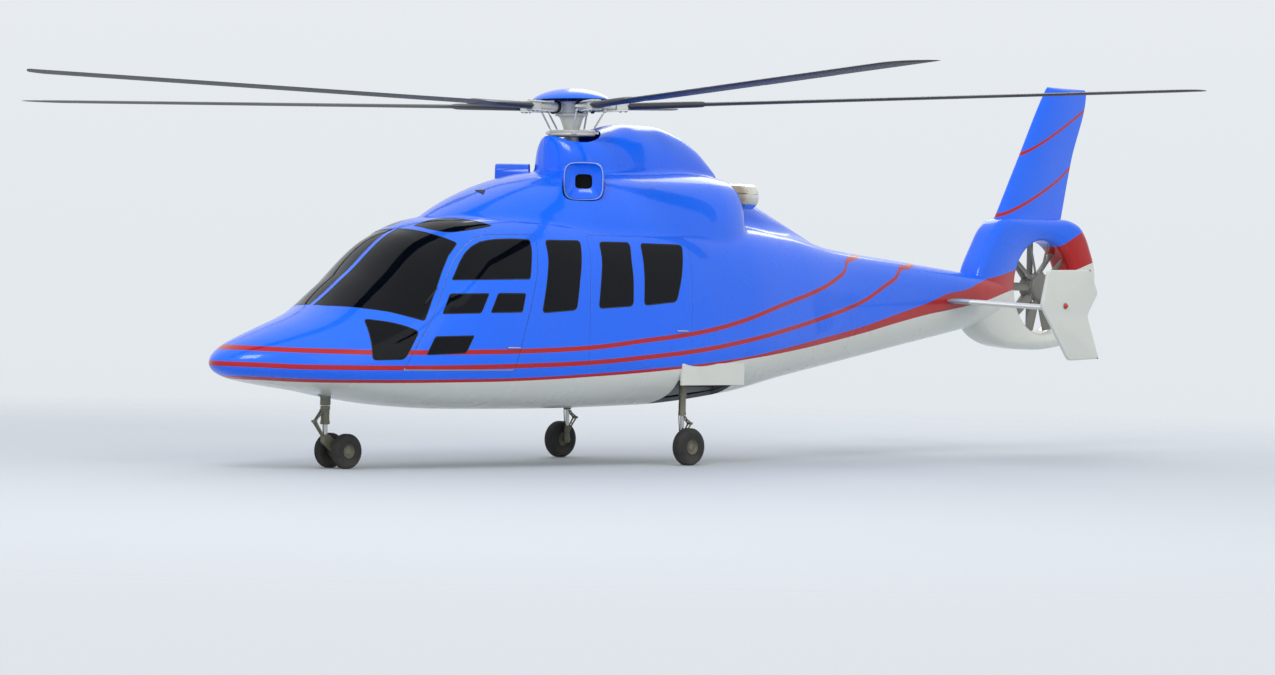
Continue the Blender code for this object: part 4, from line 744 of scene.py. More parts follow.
def makeHull():
    gap, wall = hull["gap"], hull["wall"]
    addPiece("nose_skin", noseShape(), skin, ["nose_cone"])
    doorway = onSide(frontDoorway())
    front, joint = hull["noseJoint"] - gap, hull["cabinJoint"]
    screens = onSide(windscreen, limitY=hull["post"])
    chin, roof = onSide(chinWindow, 0.045), onRoof(roofWindow)
    panes = [onSide(w, 0.028) for w in doorWindows]
    cabinPanes = [onSide(w, 0.055) for w in cabinWindows]
    ring = halfRing(front, joint + gap)
    # The doorway crosses the joint with the cabin, so each panel has its part of it cut from its own edge.
    doorPart = clippedDoorway(doorway, front - 0.01, joint + gap + 1e-5)
    canopy = bothHalves(ring, [screens, chin, roof, doorPart], (0, wall))
    addPiece("canopy_skin", canopy, skin, ["canopy_frame"])
    cabinRing = halfRing(joint - gap, hull["bulkhead"] + gap)
    shut = onSide(movedOutline(cabinDoor, hull["panelGap"]))
    bay = ((wheelBay["front"], wheelBay["top"]), (wheelBay["rear"], wheelBay["top"]), (wheelBay["rear"], 0.3),
           (wheelBay["front"], 0.3))
    bayOutline = softOutline(bay, 0.002, 0.02)
    bayAngle = sideAngle(bayOutline[:, 0], bayOutline[:, 1])
    bayHole = np.stack([bayOutline[:, 0],
                        np.maximum(bayAngle, bellyAngle(bayOutline[:, 0], wheelBay["inner"]))], -1)
    doorPart = clippedDoorway(doorway, joint - gap - 1e-5, hull["bulkhead"])
    shell = bothHalves(cabinRing, [cabinPanes[0], shut, bayHole, doorPart], (0, wall))
    addPiece("cabin_skin", shell, skin, ["cabin_shell"])
    rear = bothHalves(halfRing(hull["bulkhead"] - gap, hull["boomJoint"] + gap, 0.05), [],
                      (0, hull["rearWall"]))
    wallRing = hullPoint(np.full(96, hull["bulkhead"] - gap), np.linspace(0, 2 * math.pi, 96, endpoint=False))
    centre = np.array([hull["bulkhead"], 0.0, 1.55])
    # The bulkhead is four rings, each a part of the hull's section and a distance behind it.
    bulkhead = gridShape(np.array([(wallRing - centre) * s + centre + (d, 0, 0) for s, d in (
        (0.02, 0), (0.985, 0), (0.985, -0.03), (0.02, -0.03))]), slot=1)
    addPiece("rear_skin", [*rear, bulkhead], skin, ["rear_fuselage"])
    boom = bothHalves(halfRing(hull["boomJoint"] - gap, hull["boomEnd"], 0.05), [], (0, hull["boomWall"]),
                      step=(0.07, 0.06))
    addPiece("boom_skin", boom, skin, ["tail_boom"])
    print("hull skins made")

    doorEdge, cabinEdge = onSide(frontDoor), onSide(cabinDoor)
    innerDoorway = onSide(movedOutline(frontDoorway(), -0.0005))
    sillEdge = onSide(movedOutline(frontDoorway(0.006), -0.0010))
    for label, side in sides:
        door = sheetShape(doorEdge, panes, (0, wall))
        addPiece(f"front_door_skin_{label}", mirrored(door, side), skin, [f"front_door_{label}"],
                 body=f"front_door_{label}")
        slide = sheetShape(cabinEdge, cabinPanes[1:], (0, wall))
        addPiece(f"cabin_door_skin_{label}", mirrored(slide, side), skin, [f"cabin_door_{label}"])
        # Every opening holds a pane in a black gasket, drawn from the same outline pulled inwards.
        groups = (
            (f"windscreen_pane_{label}", [screens], "airframe", ["windscreen"]),
            (f"chin_pane_{label}", [chin], "airframe", [f"chin_window_{label}"]),
            (f"roof_pane_{label}", [roof], "airframe", [f"roof_window_{label}"]),
            (f"front_door_panes_{label}", panes, f"front_door_{label}", [f"front_door_glass_{label}"]),
            (f"cabin_door_panes_{label}", cabinPanes[1:], "airframe", [f"cabin_door_glass_{label}"]),
            (f"cabin_pane_{label}", cabinPanes[:1], "airframe", [f"cabin_window_{label}"]))
        for name, openings, body, stands in groups:
            shapes, rims = [], []
            for opening in openings:
                edge = movedOutline(opening, -hull["play"])
                pane = movedOutline(opening, -hull["gasket"])
                hole = movedOutline(opening, -hull["gasket"] + hull["play"])
                shapes.append(mirrored(sheetShape(pane, [], hull["pane"], inner=0), side))
                rims.append(mirrored(sheetShape(edge, [hole], hull["seal"], inner=0), side))
            addPiece(name, shapes, "tintedAcrylic", stands, body=body)
            addPiece(f"{name}_gasket", rims, "blackRubber", body=body)
        # A pale seal lies round each doorway, and a painted step under the front door's sill.
        sealRing = sheetShape(sillEdge, [movedOutline(doorEdge, 0.0025)], (0.006, 0.020), inner=0)
        step = sheetShape(innerDoorway, [movedOutline(sillEdge, 0.0003)], (0.003, 0.020), inner=0)
        addPiece(f"door_step_{label}", mirrored(step, side), "stripedGlossPaint")
        slideRing = sheetShape(movedOutline(shut, -0.0002), [movedOutline(cabinEdge, hull["play"])],
                               (0.004, 0.016), inner=0)
        addPiece(f"door_seals_{label}", [mirrored(sealRing, side), mirrored(slideRing, side)], "paleSeal")
    print("doors and windows made")


makeHull()


# Cowlings: arches of x, half width, top z and roundness, standing on the hull with a faired foot.

cowlBase, aftBase, pylonBase = 2.10, 2.00, 2.80
cowlTable = np.array(((2.80, 0.34, 2.380, 2.2), (2.50, 0.55, 2.540, 2.3), (2.15, 0.70, 2.695, 2.4),
                      (1.80, 0.79, 2.820, 2.4), (1.45, 0.84, 2.905, 2.5), (1.00, 0.87, 2.960, 2.6),
                      (0.40, 0.88, 2.990, 2.6), (-0.30, 0.87, 2.995, 2.8), (-0.62, 0.84, 2.985, 3.1),
                      (-0.86, 0.78, 2.970, 3.3), (-1.02, 0.70, 2.955, 3.5), (-1.12, 0.60, 2.940, 3.6)))
aftTable = np.array(((-1.1203, 0.50, 2.920, 2.2), (-1.50, 0.50, 2.790, 2.2), (-1.95, 0.46, 2.615, 2.2),
                     (-2.40, 0.40, 2.430, 2.2), (-2.82, 0.34, 2.255, 2.2)))
pylonTable = np.array(((1.160, 0.060, 3.295, 3.2), (1.130, 0.168, 3.300, 3.2), (1.050, 0.288, 3.305, 3.2),
                       (0.900, 0.390, 3.312, 3.2), (0.745, 0.420, 3.330, 3.2), (0.450, 0.415, 3.400, 3.0),
                       (0.150, 0.395, 3.460, 2.8), (-0.200, 0.350, 3.462, 2.6), (-0.550, 0.290, 3.395, 2.6),
                       (-0.850, 0.225, 3.260, 2.8), (-1.040, 0.175, 3.125, 3.0), (-1.150, 0.150, 3.030, 3.2)))


def archCurve(table):
    # A table's rows as smooth curves of x, which has to rise.
    flip = table[::-1]
    return smoothCurve(flip[:, 0], flip[:, 1:])


def archPoint(curve, base, x, angle):
    # Half a rounded box on its base, |y/half|^n + |(z - base)/height|^n = 1, by its polar angle.
    half, top, power = np.moveaxis(curve(x), -1, 0)
    across, up = np.cos(angle), np.sin(angle)
    reach = boxReach(across, up, power)
    return half * across * reach, base + (top - base) * up * reach


def archTop(table, base):
    # The height of an arch above a point in plan, or very low where the arch doesn't reach.
    curve = archCurve(table)

    def height(x, y):
        half, top, power = np.moveaxis(curve(np.clip(x, table[-1, 0], table[0, 0])), -1, 0)
        part = np.abs(y) / half
        z = base + (top - base) * boxHeight(np.minimum(part, 1), power)
        return np.where((part < 1) & (x <= table[0, 0]) & (x >= table[-1, 0]), z, -9.0)

    return height


def fairedArch(table, base, under, places, foot=0.10, columns=72, thickness=0.008):
    # For each place the arch is followed from where it meets what lies under it; its foot curves outwards
    # onto that surface, as a curve from the foot's outer edge to the arch, bent to the meeting point.
    curve = archCurve(table)
    rings = []
    for x in places:
        low, high = 0.0, math.pi / 2
        if archPoint(curve, base, np.array(x), np.array(high))[1] < under(x, 0.0) + 0.004:
            continue
        for _ in range(40):
            middle = (low + high) / 2
            y, z = archPoint(curve, base, np.array(x), np.array(middle))
            low, high = (middle, high) if z < under(x, float(y)) else (low, middle)
        angle = np.linspace(high, math.pi / 2, 240)
        y, z = archPoint(curve, base, np.full(240, x), angle)
        length = np.concatenate([[0], np.cumsum(np.hypot(np.diff(y), np.diff(z)))])
        reach = min(foot, 0.35 * length[-1])
        up = np.array([np.interp(reach, length, y), np.interp(reach, length, z)])
        outerY = y[0]
        while outerY < y[0] + reach * 0.8 and under(x, outerY + 0.004) > z[0] - 0.30 * reach:
            outerY += 0.004
        outer = np.array([outerY, under(x, outerY) + 0.0015])
        t = np.linspace(0, 1, 9)[:, None]
        curveFoot = outer * (1 - t) ** 2 + np.array([y[0], z[0]]) * 2 * t * (1 - t) + up * t**2
        sample = np.linspace(reach, length[-1], columns // 2 - 8)[1:]
        rest = np.stack([np.interp(sample, length, y), np.interp(sample, length, z)], -1)
        half = np.concatenate([curveFoot, rest])
        both = np.concatenate([half, (half * (-1, 1))[-2::-1]])
        rings.append(np.concatenate([np.full((len(both), 1), x), both], 1))
    outer = np.array(rings)
    toward = (0, 0, base) - outer * (0, 1, 1)
    return outer, outer + toward / np.maximum(np.linalg.norm(toward, axis=-1, keepdims=True),
                                              1e-6) * thickness


def closedShell(outer, inner):
    # The outer skin and the inner one turned back, as one loop of columns, with rims at both ends.
    loop = np.concatenate([outer, inner[:, ::-1]], 1)
    rows, columns = loop.shape[:2]
    half = columns // 2
    faces = [gridFaces(rows, columns)]
    for row, way in ((0, 1), (rows - 1, -1)):
        a = row * columns + np.arange(half - 1)
        b = row * columns + columns - 1 - np.arange(half - 1)
        faces.append(np.stack([a, a + 1, b - 1, b], -1)[:, ::way])
    return outward(shapeOf(loop.reshape(-1, 3), faces))


def cutWith(obj, shapes, name):
    # Takes closed shapes out of a piece with exact Booleans, and leaves no helper behind.
    for number, shape in enumerate(shapes):
        mesh = bpy.data.meshes.new(f"{name}{number}")
        faces = [list(map(int, f)) for group in shape["faces"] for f in group]
        mesh.from_pydata(shape["points"].tolist(), [], faces)
        cutter = bpy.data.objects.new(f"{name}{number}", mesh)
        bpy.context.scene.collection.objects.link(cutter)
        change = obj.modifiers.new("cut", "BOOLEAN")
        change.operation, change.solver, change.object = "DIFFERENCE", "EXACT", cutter
        graph = bpy.context.evaluated_depsgraph_get()
        result = bpy.data.meshes.new_from_object(obj.evaluated_get(graph), depsgraph=graph)
        obj.modifiers.clear()
        obj.data = result
        bpy.data.objects.remove(cutter)
    obj.data.shade_smooth()
    obj.data.set_sharp_from_angle(angle=math.radians(32))


intake = {"mouth": (1.25, 0.65, 2.83), "half": 0.20, "height": 0.192, "hole": (0.085, 0.072)}
exhaust = {"y": 0.45, "z": 2.765, "radius": 0.128, "wall": 0.006, "front": -0.90, "rear": -1.345}
mast = {"hub": (0.82, 0.0, 3.595), "tilt": math.radians(1.84), "cone": math.radians(1.67), "blades": 5}
rotorFrame = Matrix.Translation(mast["hub"]) @ Matrix.Rotation(mast["tilt"], 4, "Y")


def intakeRing(side, depth, half, height, steps=72, power=4.0):
    # A rounded square that faces forwards and outwards, a depth behind the mouth.
    angle = (np.arange(steps) + 0.5) * 2 * math.pi / steps
    across, up = np.cos(angle), np.sin(angle)
    reach = boxReach(across, up, power)
    root = math.sqrt(0.5)
    centre = np.array([intake["mouth"][0] - depth * root, side * (intake["mouth"][1] - depth * root),
                       intake["mouth"][2]])
    along = np.array([-side * root, root, 0.0])
    return centre + np.outer(half * across * reach, along) + np.outer(height * up * reach, (0, 0, 1))


def outwardFrom(shape, centre, outerOnly=False):
    # True where most of a shape's first faces look away from a point inside it.
    f = shape["faces"][0][:, :4]
    p = shape["points"]
    normal = np.cross(p[f[:, 1]] - p[f[:, 0]], p[f[:, 2]] - p[f[:, 0]])
    away = p[f].mean(1) - centre
    if outerOnly:
        away[:, 0] = 0
        distance = np.linalg.norm(away, axis=1)
        return np.sum(np.sum(normal * away, 1)[distance > distance.mean()]) > 0
    return np.sum(normal * away) > 0


def makeCowlings():
    cowlTop, aftTop = archTop(cowlTable, cowlBase), archTop(aftTable, aftBase)
    places = np.concatenate([np.linspace(2.795, 2.5, 16), np.linspace(2.47, -1.08, 74), [-1.11, -1.12]])
    outer, inner = fairedArch(cowlTable, cowlBase, hullTop, places)
    # The rear end closes with a rounded edge onto a flat wall.
    last = outer[-1]
    centre = np.array([0.0, 0.0, 2.62])
    ends = np.array([last + (centre - last) * (0, s, s) + (-d, 0, 0) for s, d in (
        (0.012, 0.010), (0.035, 0.018), (0.07, 0.021), (0.5, 0.021), (0.97, 0.021))])
    ends[:, :, 2] = np.maximum(ends[:, :, 2], last[0, 2] - 0.02)
    outer, inner = np.concatenate([outer, ends]), np.concatenate([inner, ends + (0.010, 0, 0)])
    cowl = addPiece("engine_cowl_skin", closedShell(outer, inner), "blueGlossPaint", ["engine_cowling"])
    plugs = []
    for _, side in sides:
        around = intake["half"] * 1.035, intake["height"] * 1.035
        plugs.append(gridShape(np.array([intakeRing(side, depth, *around) for depth in (0.34, -0.25)])))
        plugs.append(rodShape(exhaust["radius"] + 0.004, -1.40, -1.02, 48, "x",
                              (0, side * exhaust["y"], exhaust["z"])))
    mastFoot = (mast["hub"][0], 0, 0)
    plugs.append(rodShape(0.33, 2.90, 3.10, 64, "z", mastFoot))
    cutWith(cowl, plugs, "cowlPlug")

    def underPylon(x, y):
        return max(float(cowlTop(x, y)), float(aftTop(x, y)), float(hullTop(x, y)))

    nose = 1.160 - 0.10 * np.linspace(0, 1, 13) ** 2
    pylonPlaces = np.concatenate([nose, np.linspace(1.045, -1.10, 66), [-1.125, -1.140, -1.148, -1.150]])
    outer, inner = fairedArch(pylonTable, pylonBase, underPylon, pylonPlaces, foot=0.07, thickness=0.012)
    pylon = addPiece("pylon_skin", closedShell(outer, inner), "blueGlossPaint", ["rotor_fairing"])
    cutWith(pylon, [rodShape(0.30, 3.15, 3.6, 72, "z", mastFoot)], "pylonPlug")
    bulge = ((1, 0), (0.9, 0.004), (0.6, 0.007), (0.01, 0.008))
    caps = [np.array([ring * (1, s, 1) + (way * d, 0, 0) for s, d in bulge])
            for ring, way in ((outer[0], 1), (outer[-1], -1))]
    addPiece("pylon_end_caps", [gridShape(c, closedColumns=False, caps=False) for c in caps],
             "blueGlossPaint")
    aftPlaces = np.concatenate([[-1.1203, -1.13], np.linspace(-1.16, -2.80, 40)])
    outer, inner = fairedArch(aftTable, aftBase, hullTop, aftPlaces, foot=0.14)
    aft = addPiece("aft_cowl_skin", closedShell(outer, inner), "blueGlossPaint", ["aft_cowling"])
    scoops = [turnedShape(((0.0, -1.75), (exhaust["radius"] * 0.9, -1.70), (exhaust["radius"] + 0.012, -1.45),
                           (exhaust["radius"] + 0.012, -1.0), (0.0, -1.0)), 48, "x",
                          (0, side * exhaust["y"], exhaust["z"])) for _, side in sides]
    cutWith(aft, scoops, "aftPlug")
    print("cowlings made")

    half, tall, hole = intake["half"], intake["height"], intake["hole"]
    # depth, parts of the half width and height, roundness: the pod, its lip and the dish inside it
    rows = [(depth, half * a, tall * b, power) for depth, a, b, power in ((0.34, 1.02, 1.02, 4.0),
                                                                          (0.04, 1.01, 1.01, 4.0),
                                                                          (0.012, 1.0, 1.0, 4.0),
                                                                          (0.003, 0.985, 0.985, 4.0),
                                                                          (0.0, 0.965, 0.965, 4.0),
                                                                          (0.003, 0.94, 0.94, 4.0),
                                                                          (0.010, 0.92, 0.92, 4.0),
                                                                          (0.022, 0.84, 0.84, 3.8),
                                                                          (0.040, 0.72, 0.70, 3.6),
                                                                          (0.056, 0.58, 0.54, 3.4))]
    rows += [(0.064, 0.094, 0.080, 3.6), (0.068, *hole, 4.0), (0.080, hole[0] * 0.98, hole[1] * 0.98, 4.0),
             (0.30, *hole, 4.0)]
    for label, side in sides:
        grid = np.array([intakeRing(side, d, a, b, 96, p) for d, a, b, p in rows])
        pod = gridShape(grid[:12], caps=False)
        # The throat's walls and the plate that closes it are black: painted shade inside the intake's hole.
        throat = gridShape(grid[11:], caps=False, slot=1)
        back = shapeOf(grid[-1], [np.arange(96)[None, :]], [1])
        edge = np.array([intakeRing(side, d, half * s, tall * s, 96) for d, s in (
            (0.001, 0.972), (-0.0015, 0.962), (-0.0015, 0.942), (0.002, 0.936))])
        shapes = [pod, throat, back, gridShape(edge, caps=False, slot=2)]
        forward, across, height = intake["mouth"]
        if not outwardFrom(pod, np.array([forward - 0.15, side * (across - 0.15), height])):
            shapes = [flipped(s) for s in shapes]
        addPiece(f"intake_skin_{label}", shapes, ["blueGlossPaint", "blackPanelPaint", "paleSeal"],
                 [f"intake_{label}"])
        inner, outer, rear = exhaust["radius"] - exhaust["wall"], exhaust["radius"], exhaust["rear"]
        centre = (0, side * exhaust["y"], exhaust["z"])
        pipe = rounded(((inner, -1.13), (inner, -1.335), (inner + 0.001, rear), (outer + 0.002, rear),
                        (outer + 0.002, -1.330), (outer, -1.325), (outer, -1.20), (outer + 0.0025, -1.195),
                        (outer + 0.0025, -1.180), (outer, -1.175), (outer, exhaust["front"])), 0.002, 2)
        tube = turnedShape(pipe, 72, "x", centre, caps=False)
        cone = turnedShape(((inner, -1.132), (0.055, -1.136), (0.050, -1.19), (0.030, -1.24), (0.0, -1.26)),
                           48, "x", centre, caps=False, slot=1)
        shapes = [tube if outwardFrom(tube, np.array([-1.28, side * exhaust["y"], exhaust["z"]]), True)
                  else flipped(tube), cone]
        addPiece(f"exhaust_pipe_{label}", shapes, ["heatedSteel", "castMetal"], [f"exhaust_{label}"])
    print("intakes and exhausts made")


makeCowlings()


# The tail: the fan's housing, the fin, the stabiliser with its end plates, and the fan.

fanCentre = np.array([-6.61, 0.0, 1.905])
fan = {"blades": 10, "stays": 8, "pitch": math.radians(28), "bore": 0.535}
shroudOutline = (
    (-5.36, 1.50), (-5.55, 1.320), (-5.80, 1.225), (-6.20, 1.180), (-6.65, 1.175), (-7.05, 1.230),
    (-7.35, 1.400), (-7.52, 1.680), (-7.58, 2.000), (-7.55, 2.200), (-7.40, 2.500), (-7.28, 2.640),
    (-7.08, 2.700), (-5.96, 2.700), (-5.82, 2.650), (-5.70, 2.540), (-5.38, 2.030))
# z, front x, rear x, half thickness
finTable = np.array(((2.600, -5.840, -7.045, 0.105), (3.400, -6.290, -7.245, 0.080),
                     (4.205, -6.752, -7.500, 0.055), (4.238, -6.775, -7.470, 0.035)))
stabiliser = {"span": 1.70, "front": -4.66, "rear": -5.32, "half": 0.030, "rootZ": 1.735, "tipZ": 1.665}
endplate = ((-4.723, 2.077), (-5.455, 2.092), (-5.593, 1.832), (-5.408, 1.594), (-5.629, 1.113),
            (-5.102, 1.090), (-4.615, 1.683))
# radius, chord ahead of the axis, chord behind it, half thickness
bladeTable = np.array((
    (0.5803, 0.075, 0.075, 0.036), (1.05, 0.085, 0.100, 0.034), (1.34, 0.094, 0.200, 0.031),
    (1.37, 0.096, 0.215, 0.0215), (1.45, 0.096, 0.289, 0.020), (4.00, 0.096, 0.289, 0.017),
    (6.30, 0.096, 0.289, 0.015), (6.55, 0.030, 0.286, 0.012), (6.70, -0.150, 0.281, 0.007),
    (6.729, -0.196, 0.279, 0.004)))


def streamlined(chord, steps=36, blunt=0.0):
    # A wing's outline: chord parts by a half cosine, and the usual symmetrical thickness, made 1 at its most.
    angle = np.arange(steps) * 2 * math.pi / steps
    c = 0.5 * (1 + np.cos(angle))  # 1 at the rear edge
    t = 10 * (0.2969 * np.sqrt(c) - 0.126 * c - 0.3516 * c**2 + 0.2843 * c**3 - 0.1015 * c**4)
    bulge = np.sqrt(np.maximum(1 - (2 * c - 1) ** 2, 0))
    return c * chord, ((1 - blunt) * t + blunt * bulge) * np.where(np.sin(angle) >= 0, 1, -1)


def makeTail():
    # The housing's radius from the fan's axis is read off the rounded outline at even angles. Its section
    # runs round the thickness: rim, plate, lip, bore, lip, plate, rim.
    steps = 192
    soft = softOutline(shroudOutline, 0.30, 0.02)
    away = soft - fanCentre[[0, 2]]
    turn = np.arctan2(away[:, 1], away[:, 0])
    order = np.argsort(turn)
    angle = np.linspace(-math.pi, math.pi, steps, endpoint=False)
    rim = np.interp(angle, turn[order], np.hypot(*away.T)[order], period=2 * math.pi)
    bend = np.linspace(0, math.pi / 2, 9)
    lip = [("bore", fan["bore"] + 0.080 * (1 - math.cos(b)), 0.085 + 0.0951 * math.sin(b)) for b in bend]
    edge = [("rim", 0.105 * (1 - math.sin(b)), 0.075 + 0.105 * math.cos(b)) for b in bend]
    half = [("bore", fan["bore"], 0.0), *lip, ("bore", 0.6155, 0.1805), *edge]
    whole = [(k, a, -y) for k, a, y in half[:0:-1]] + half
    rows = []
    for kind, value, y in whole:
        radius = np.full(steps, value) if kind == "bore" else rim - value
        rows.append(np.stack([fanCentre[0] + radius * np.cos(angle), np.full(steps, y),
                              fanCentre[2] + radius * np.sin(angle)], -1))
    addPiece("fan_housing", gridShape(np.array(rows), closedRows=True), "shroudGlossPaint", ["fan_shroud"],
             sharp=50)

    finCurve = smoothCurve(finTable[:, 0], finTable[:, 1:])
    z = np.concatenate([np.linspace(2.60, 4.20, 60),
                        4.2375 - 0.0375 * (1 - np.sin(np.linspace(0.1, math.pi / 2, 9)))])
    front, rear, thick = np.moveaxis(finCurve(z), -1, 0)
    crown = np.sqrt(np.maximum(1 - np.clip((z - 4.20) / 0.0380, 0, 1) ** 2, 0.0))
    sections = []
    for zz, f, r, t, shrink in zip(z, front, rear, thick, crown):
        along, side = streamlined(1.0, 72)
        foot = 1 + 0.35 * max(0.0, (2.80 - zz) / 0.20) ** 2 if zz < 2.80 else 1.0
        x = f + (r - f) * along
        sections.append(np.stack([x, side * t * shrink * foot, np.full(72, zz)], -1))
    addPiece("fin_skin", gridShape(np.array(sections)), "finGlossPaint", ["tail_fin"], sharp=60)

    spans = np.concatenate([-1.70 + 0.03 * (1 - np.cos(np.linspace(0, math.pi / 2, 6))),
                            np.linspace(-1.65, 1.65, 41),
                            1.70 - 0.03 * (1 - np.cos(np.linspace(math.pi / 2, 0, 6)))])
    sections = []
    for y in spans:
        along, side = streamlined(1.0, 48)
        shrink = math.sqrt(max(0.02, 1 - max(0, (abs(y) - 1.67) / 0.031) ** 2))
        x = stabiliser["front"] + (stabiliser["rear"] - stabiliser["front"]) * along
        drop = (stabiliser["tipZ"] - stabiliser["rootZ"]) * abs(y) / stabiliser["span"]
        height = stabiliser["rootZ"] + drop
        sections.append(np.stack([x, np.full(48, y), height + side * stabiliser["half"] * shrink], -1))
    shape = gridShape(np.array(sections))
    y = shape["points"][shape["faces"][0]].mean(1)[:, 1]
    outer = np.abs(y) > 0.62  # the paint changes here
    shape = {**shape, "faces": [shape["faces"][0][outer], shape["faces"][0][~outer], *shape["faces"][1:]],
             "slots": [0, 1, 0, 0], "normals": [None] * 4}
    addPiece("stabiliser_skin", shape, ["paleSatinPaint", "greyBluePaint"], ["stabiliser"],
             sharp=50)

    soft = softOutline(endplate, 0.05, 0.03)
    for label, side in sides:
        low = stabiliser["span"] + 0.0003
        rings = []
        for d, y in ((0.018, 0.0), (0.007, 0.003), (0.0, 0.012), (0.0, 0.033), (0.007, 0.042),
                     (0.018, 0.045)):
            flat = movedOutline(soft, -d)
            rings.append(np.stack([flat[:, 0], np.full(len(flat), low + y), flat[:, 1]], -1))
        plate = mirrored(gridShape(np.array(rings)), side)
        addPiece(f"endplate_skin_{label}", plate, "paleSatinPaint", [f"endplate_{label}"], sharp=60)
        strip = tubeShape([(x, low + 0.0225, z) for x, z in rounded(endplate[1:5], 0.03, 4)], 0.0075, 8)
        addPiece(f"endplate_edge_{label}", mirrored(strip, side), "blackRubber")
        base, lamp = low + 0.0456, (-5.012, 0, 1.688)
        socket = turnedShape(rounded(((0.0, base), (0.034, base), (0.034, base + 0.006),
                                      (0.029, base + 0.008), (0.0, base + 0.008)), 0.002), 36, "y", lamp)
        lens = turnedShape([(0.028 * math.cos(b), base + 0.008 + 0.026 * math.sin(b)) for b in
                            np.linspace(0, math.pi / 2, 10)], 36, "y", lamp)
        addPiece(f"lamp_lens_{label}", mirrored(lens, side), "redLens" if side > 0 else "greenLens",
                 [f"position_lamp_{label}"])
        addPiece(f"lamp_socket_{label}", mirrored(socket, side), "dullSteel")
    print("tail made")


def makeFan():
    dome = rounded(((0.0, 0.0115), (0.160, 0.0115), (0.165, 0.020), (0.165, 0.098), (0.150, 0.122),
                    (0.10, 0.1285), (0.0, 0.1298)), 0.018, 5)
    ring = rounded(((0.1655, 0.030), (0.1672, 0.030), (0.1672, 0.038), (0.1655, 0.038)), 0.0005, 1)
    shapes = [turnedShape(dome, 72, "y", fanCentre), turnedShape(ring, 72, "y", fanCentre, caps=False)]
    # radius, half chord, half thickness of a blade
    rows = np.array(((0.14, 0.020, 0.011), (0.18, 0.022, 0.011), (0.205, 0.045, 0.010), (0.24, 0.050, 0.0095),
                     (0.42, 0.053, 0.0085), (0.512, 0.053, 0.0065), (0.519, 0.050, 0.004),
                     (0.521, 0.046, 0.001)))
    curve = smoothCurve(rows[:, 0], rows[:, 1:])
    radii = np.concatenate([np.linspace(0.14, 0.24, 12), np.linspace(0.26, 0.505, 14),
                            (0.512, 0.517, 0.520, 0.521)])
    pitch = np.array(Matrix.Rotation(fan["pitch"], 3, "Z"))
    bolts = []
    for number in range(fan["blades"]):
        angle = 2 * math.pi * (number + 0.5) / fan["blades"]
        turn = Matrix.Translation(fanCentre) @ Matrix.Rotation(angle, 4, "Y")
        sections = []
        for radius in radii:
            half, thick = curve(radius)
            along, side = streamlined(2 * half, 28, 0.25)
            flat = np.stack([half - along, side * thick, np.full(28, 0.0)], -1) @ pitch.T
            sections.append(flat + (0, 0.062, radius))
        shapes.append(placed(gridShape(np.array(sections)), turn))
        collar = turnedShape(((0.0, 0.158), (0.026, 0.158), (0.026, 0.176), (0.021, 0.182), (0.0, 0.182)), 20,
                             "z", (0, 0.062, 0))
        shapes.append(placed(collar, turn))
        bolt = rodShape(0.005, 0.1235, 0.1278, 6, "y", (0, 0, 0.128))
        bolts.append(placed(bolt, turn))
    addPiece("fan_rotor", shapes, "greyFanPaint", ["tail_fan"], body="tail_fan", sharp=40)
    addPiece("fan_rotor_bolts", bolts, "dullSteel", body="tail_fan")
    pod = rounded(((0.0, -0.1598), (0.06, -0.158), (0.10, -0.150), (0.145, -0.110), (0.145, 0.0090),
                   (0.0, 0.0090)), 0.02, 5)
    shapes = [turnedShape(pod, 64, "y", fanCentre)]
    for number in range(fan["stays"]):
        turn = Matrix.Translation(fanCentre) @ Matrix.Rotation(2 * math.pi * number / fan["stays"], 4, "Y")
        sections = []
        for radius in np.linspace(0.12, 0.5345, 8):
            along, side = streamlined(0.09, 28, 0.3)
            sections.append(np.stack([side * 0.0125, -0.030 - along, np.full(28, radius)], -1))
        shapes.append(placed(gridShape(np.array(sections)), turn))
        foot = np.array([np.stack([side * (0.0125 + g), -0.075 + (0.045 - along) * (1 + g * 12),
                                   np.full(28, radius)], -1)
                         for radius, g in ((0.5215, 0.0), (0.529, 0.003), (0.5345, 0.010))])
        shapes.append(placed(gridShape(foot), turn))
    addPiece("fan_pod_skin", shapes, "greyFanPaint", ["fan_pod"], sharp=40)
    print("tail fan made")


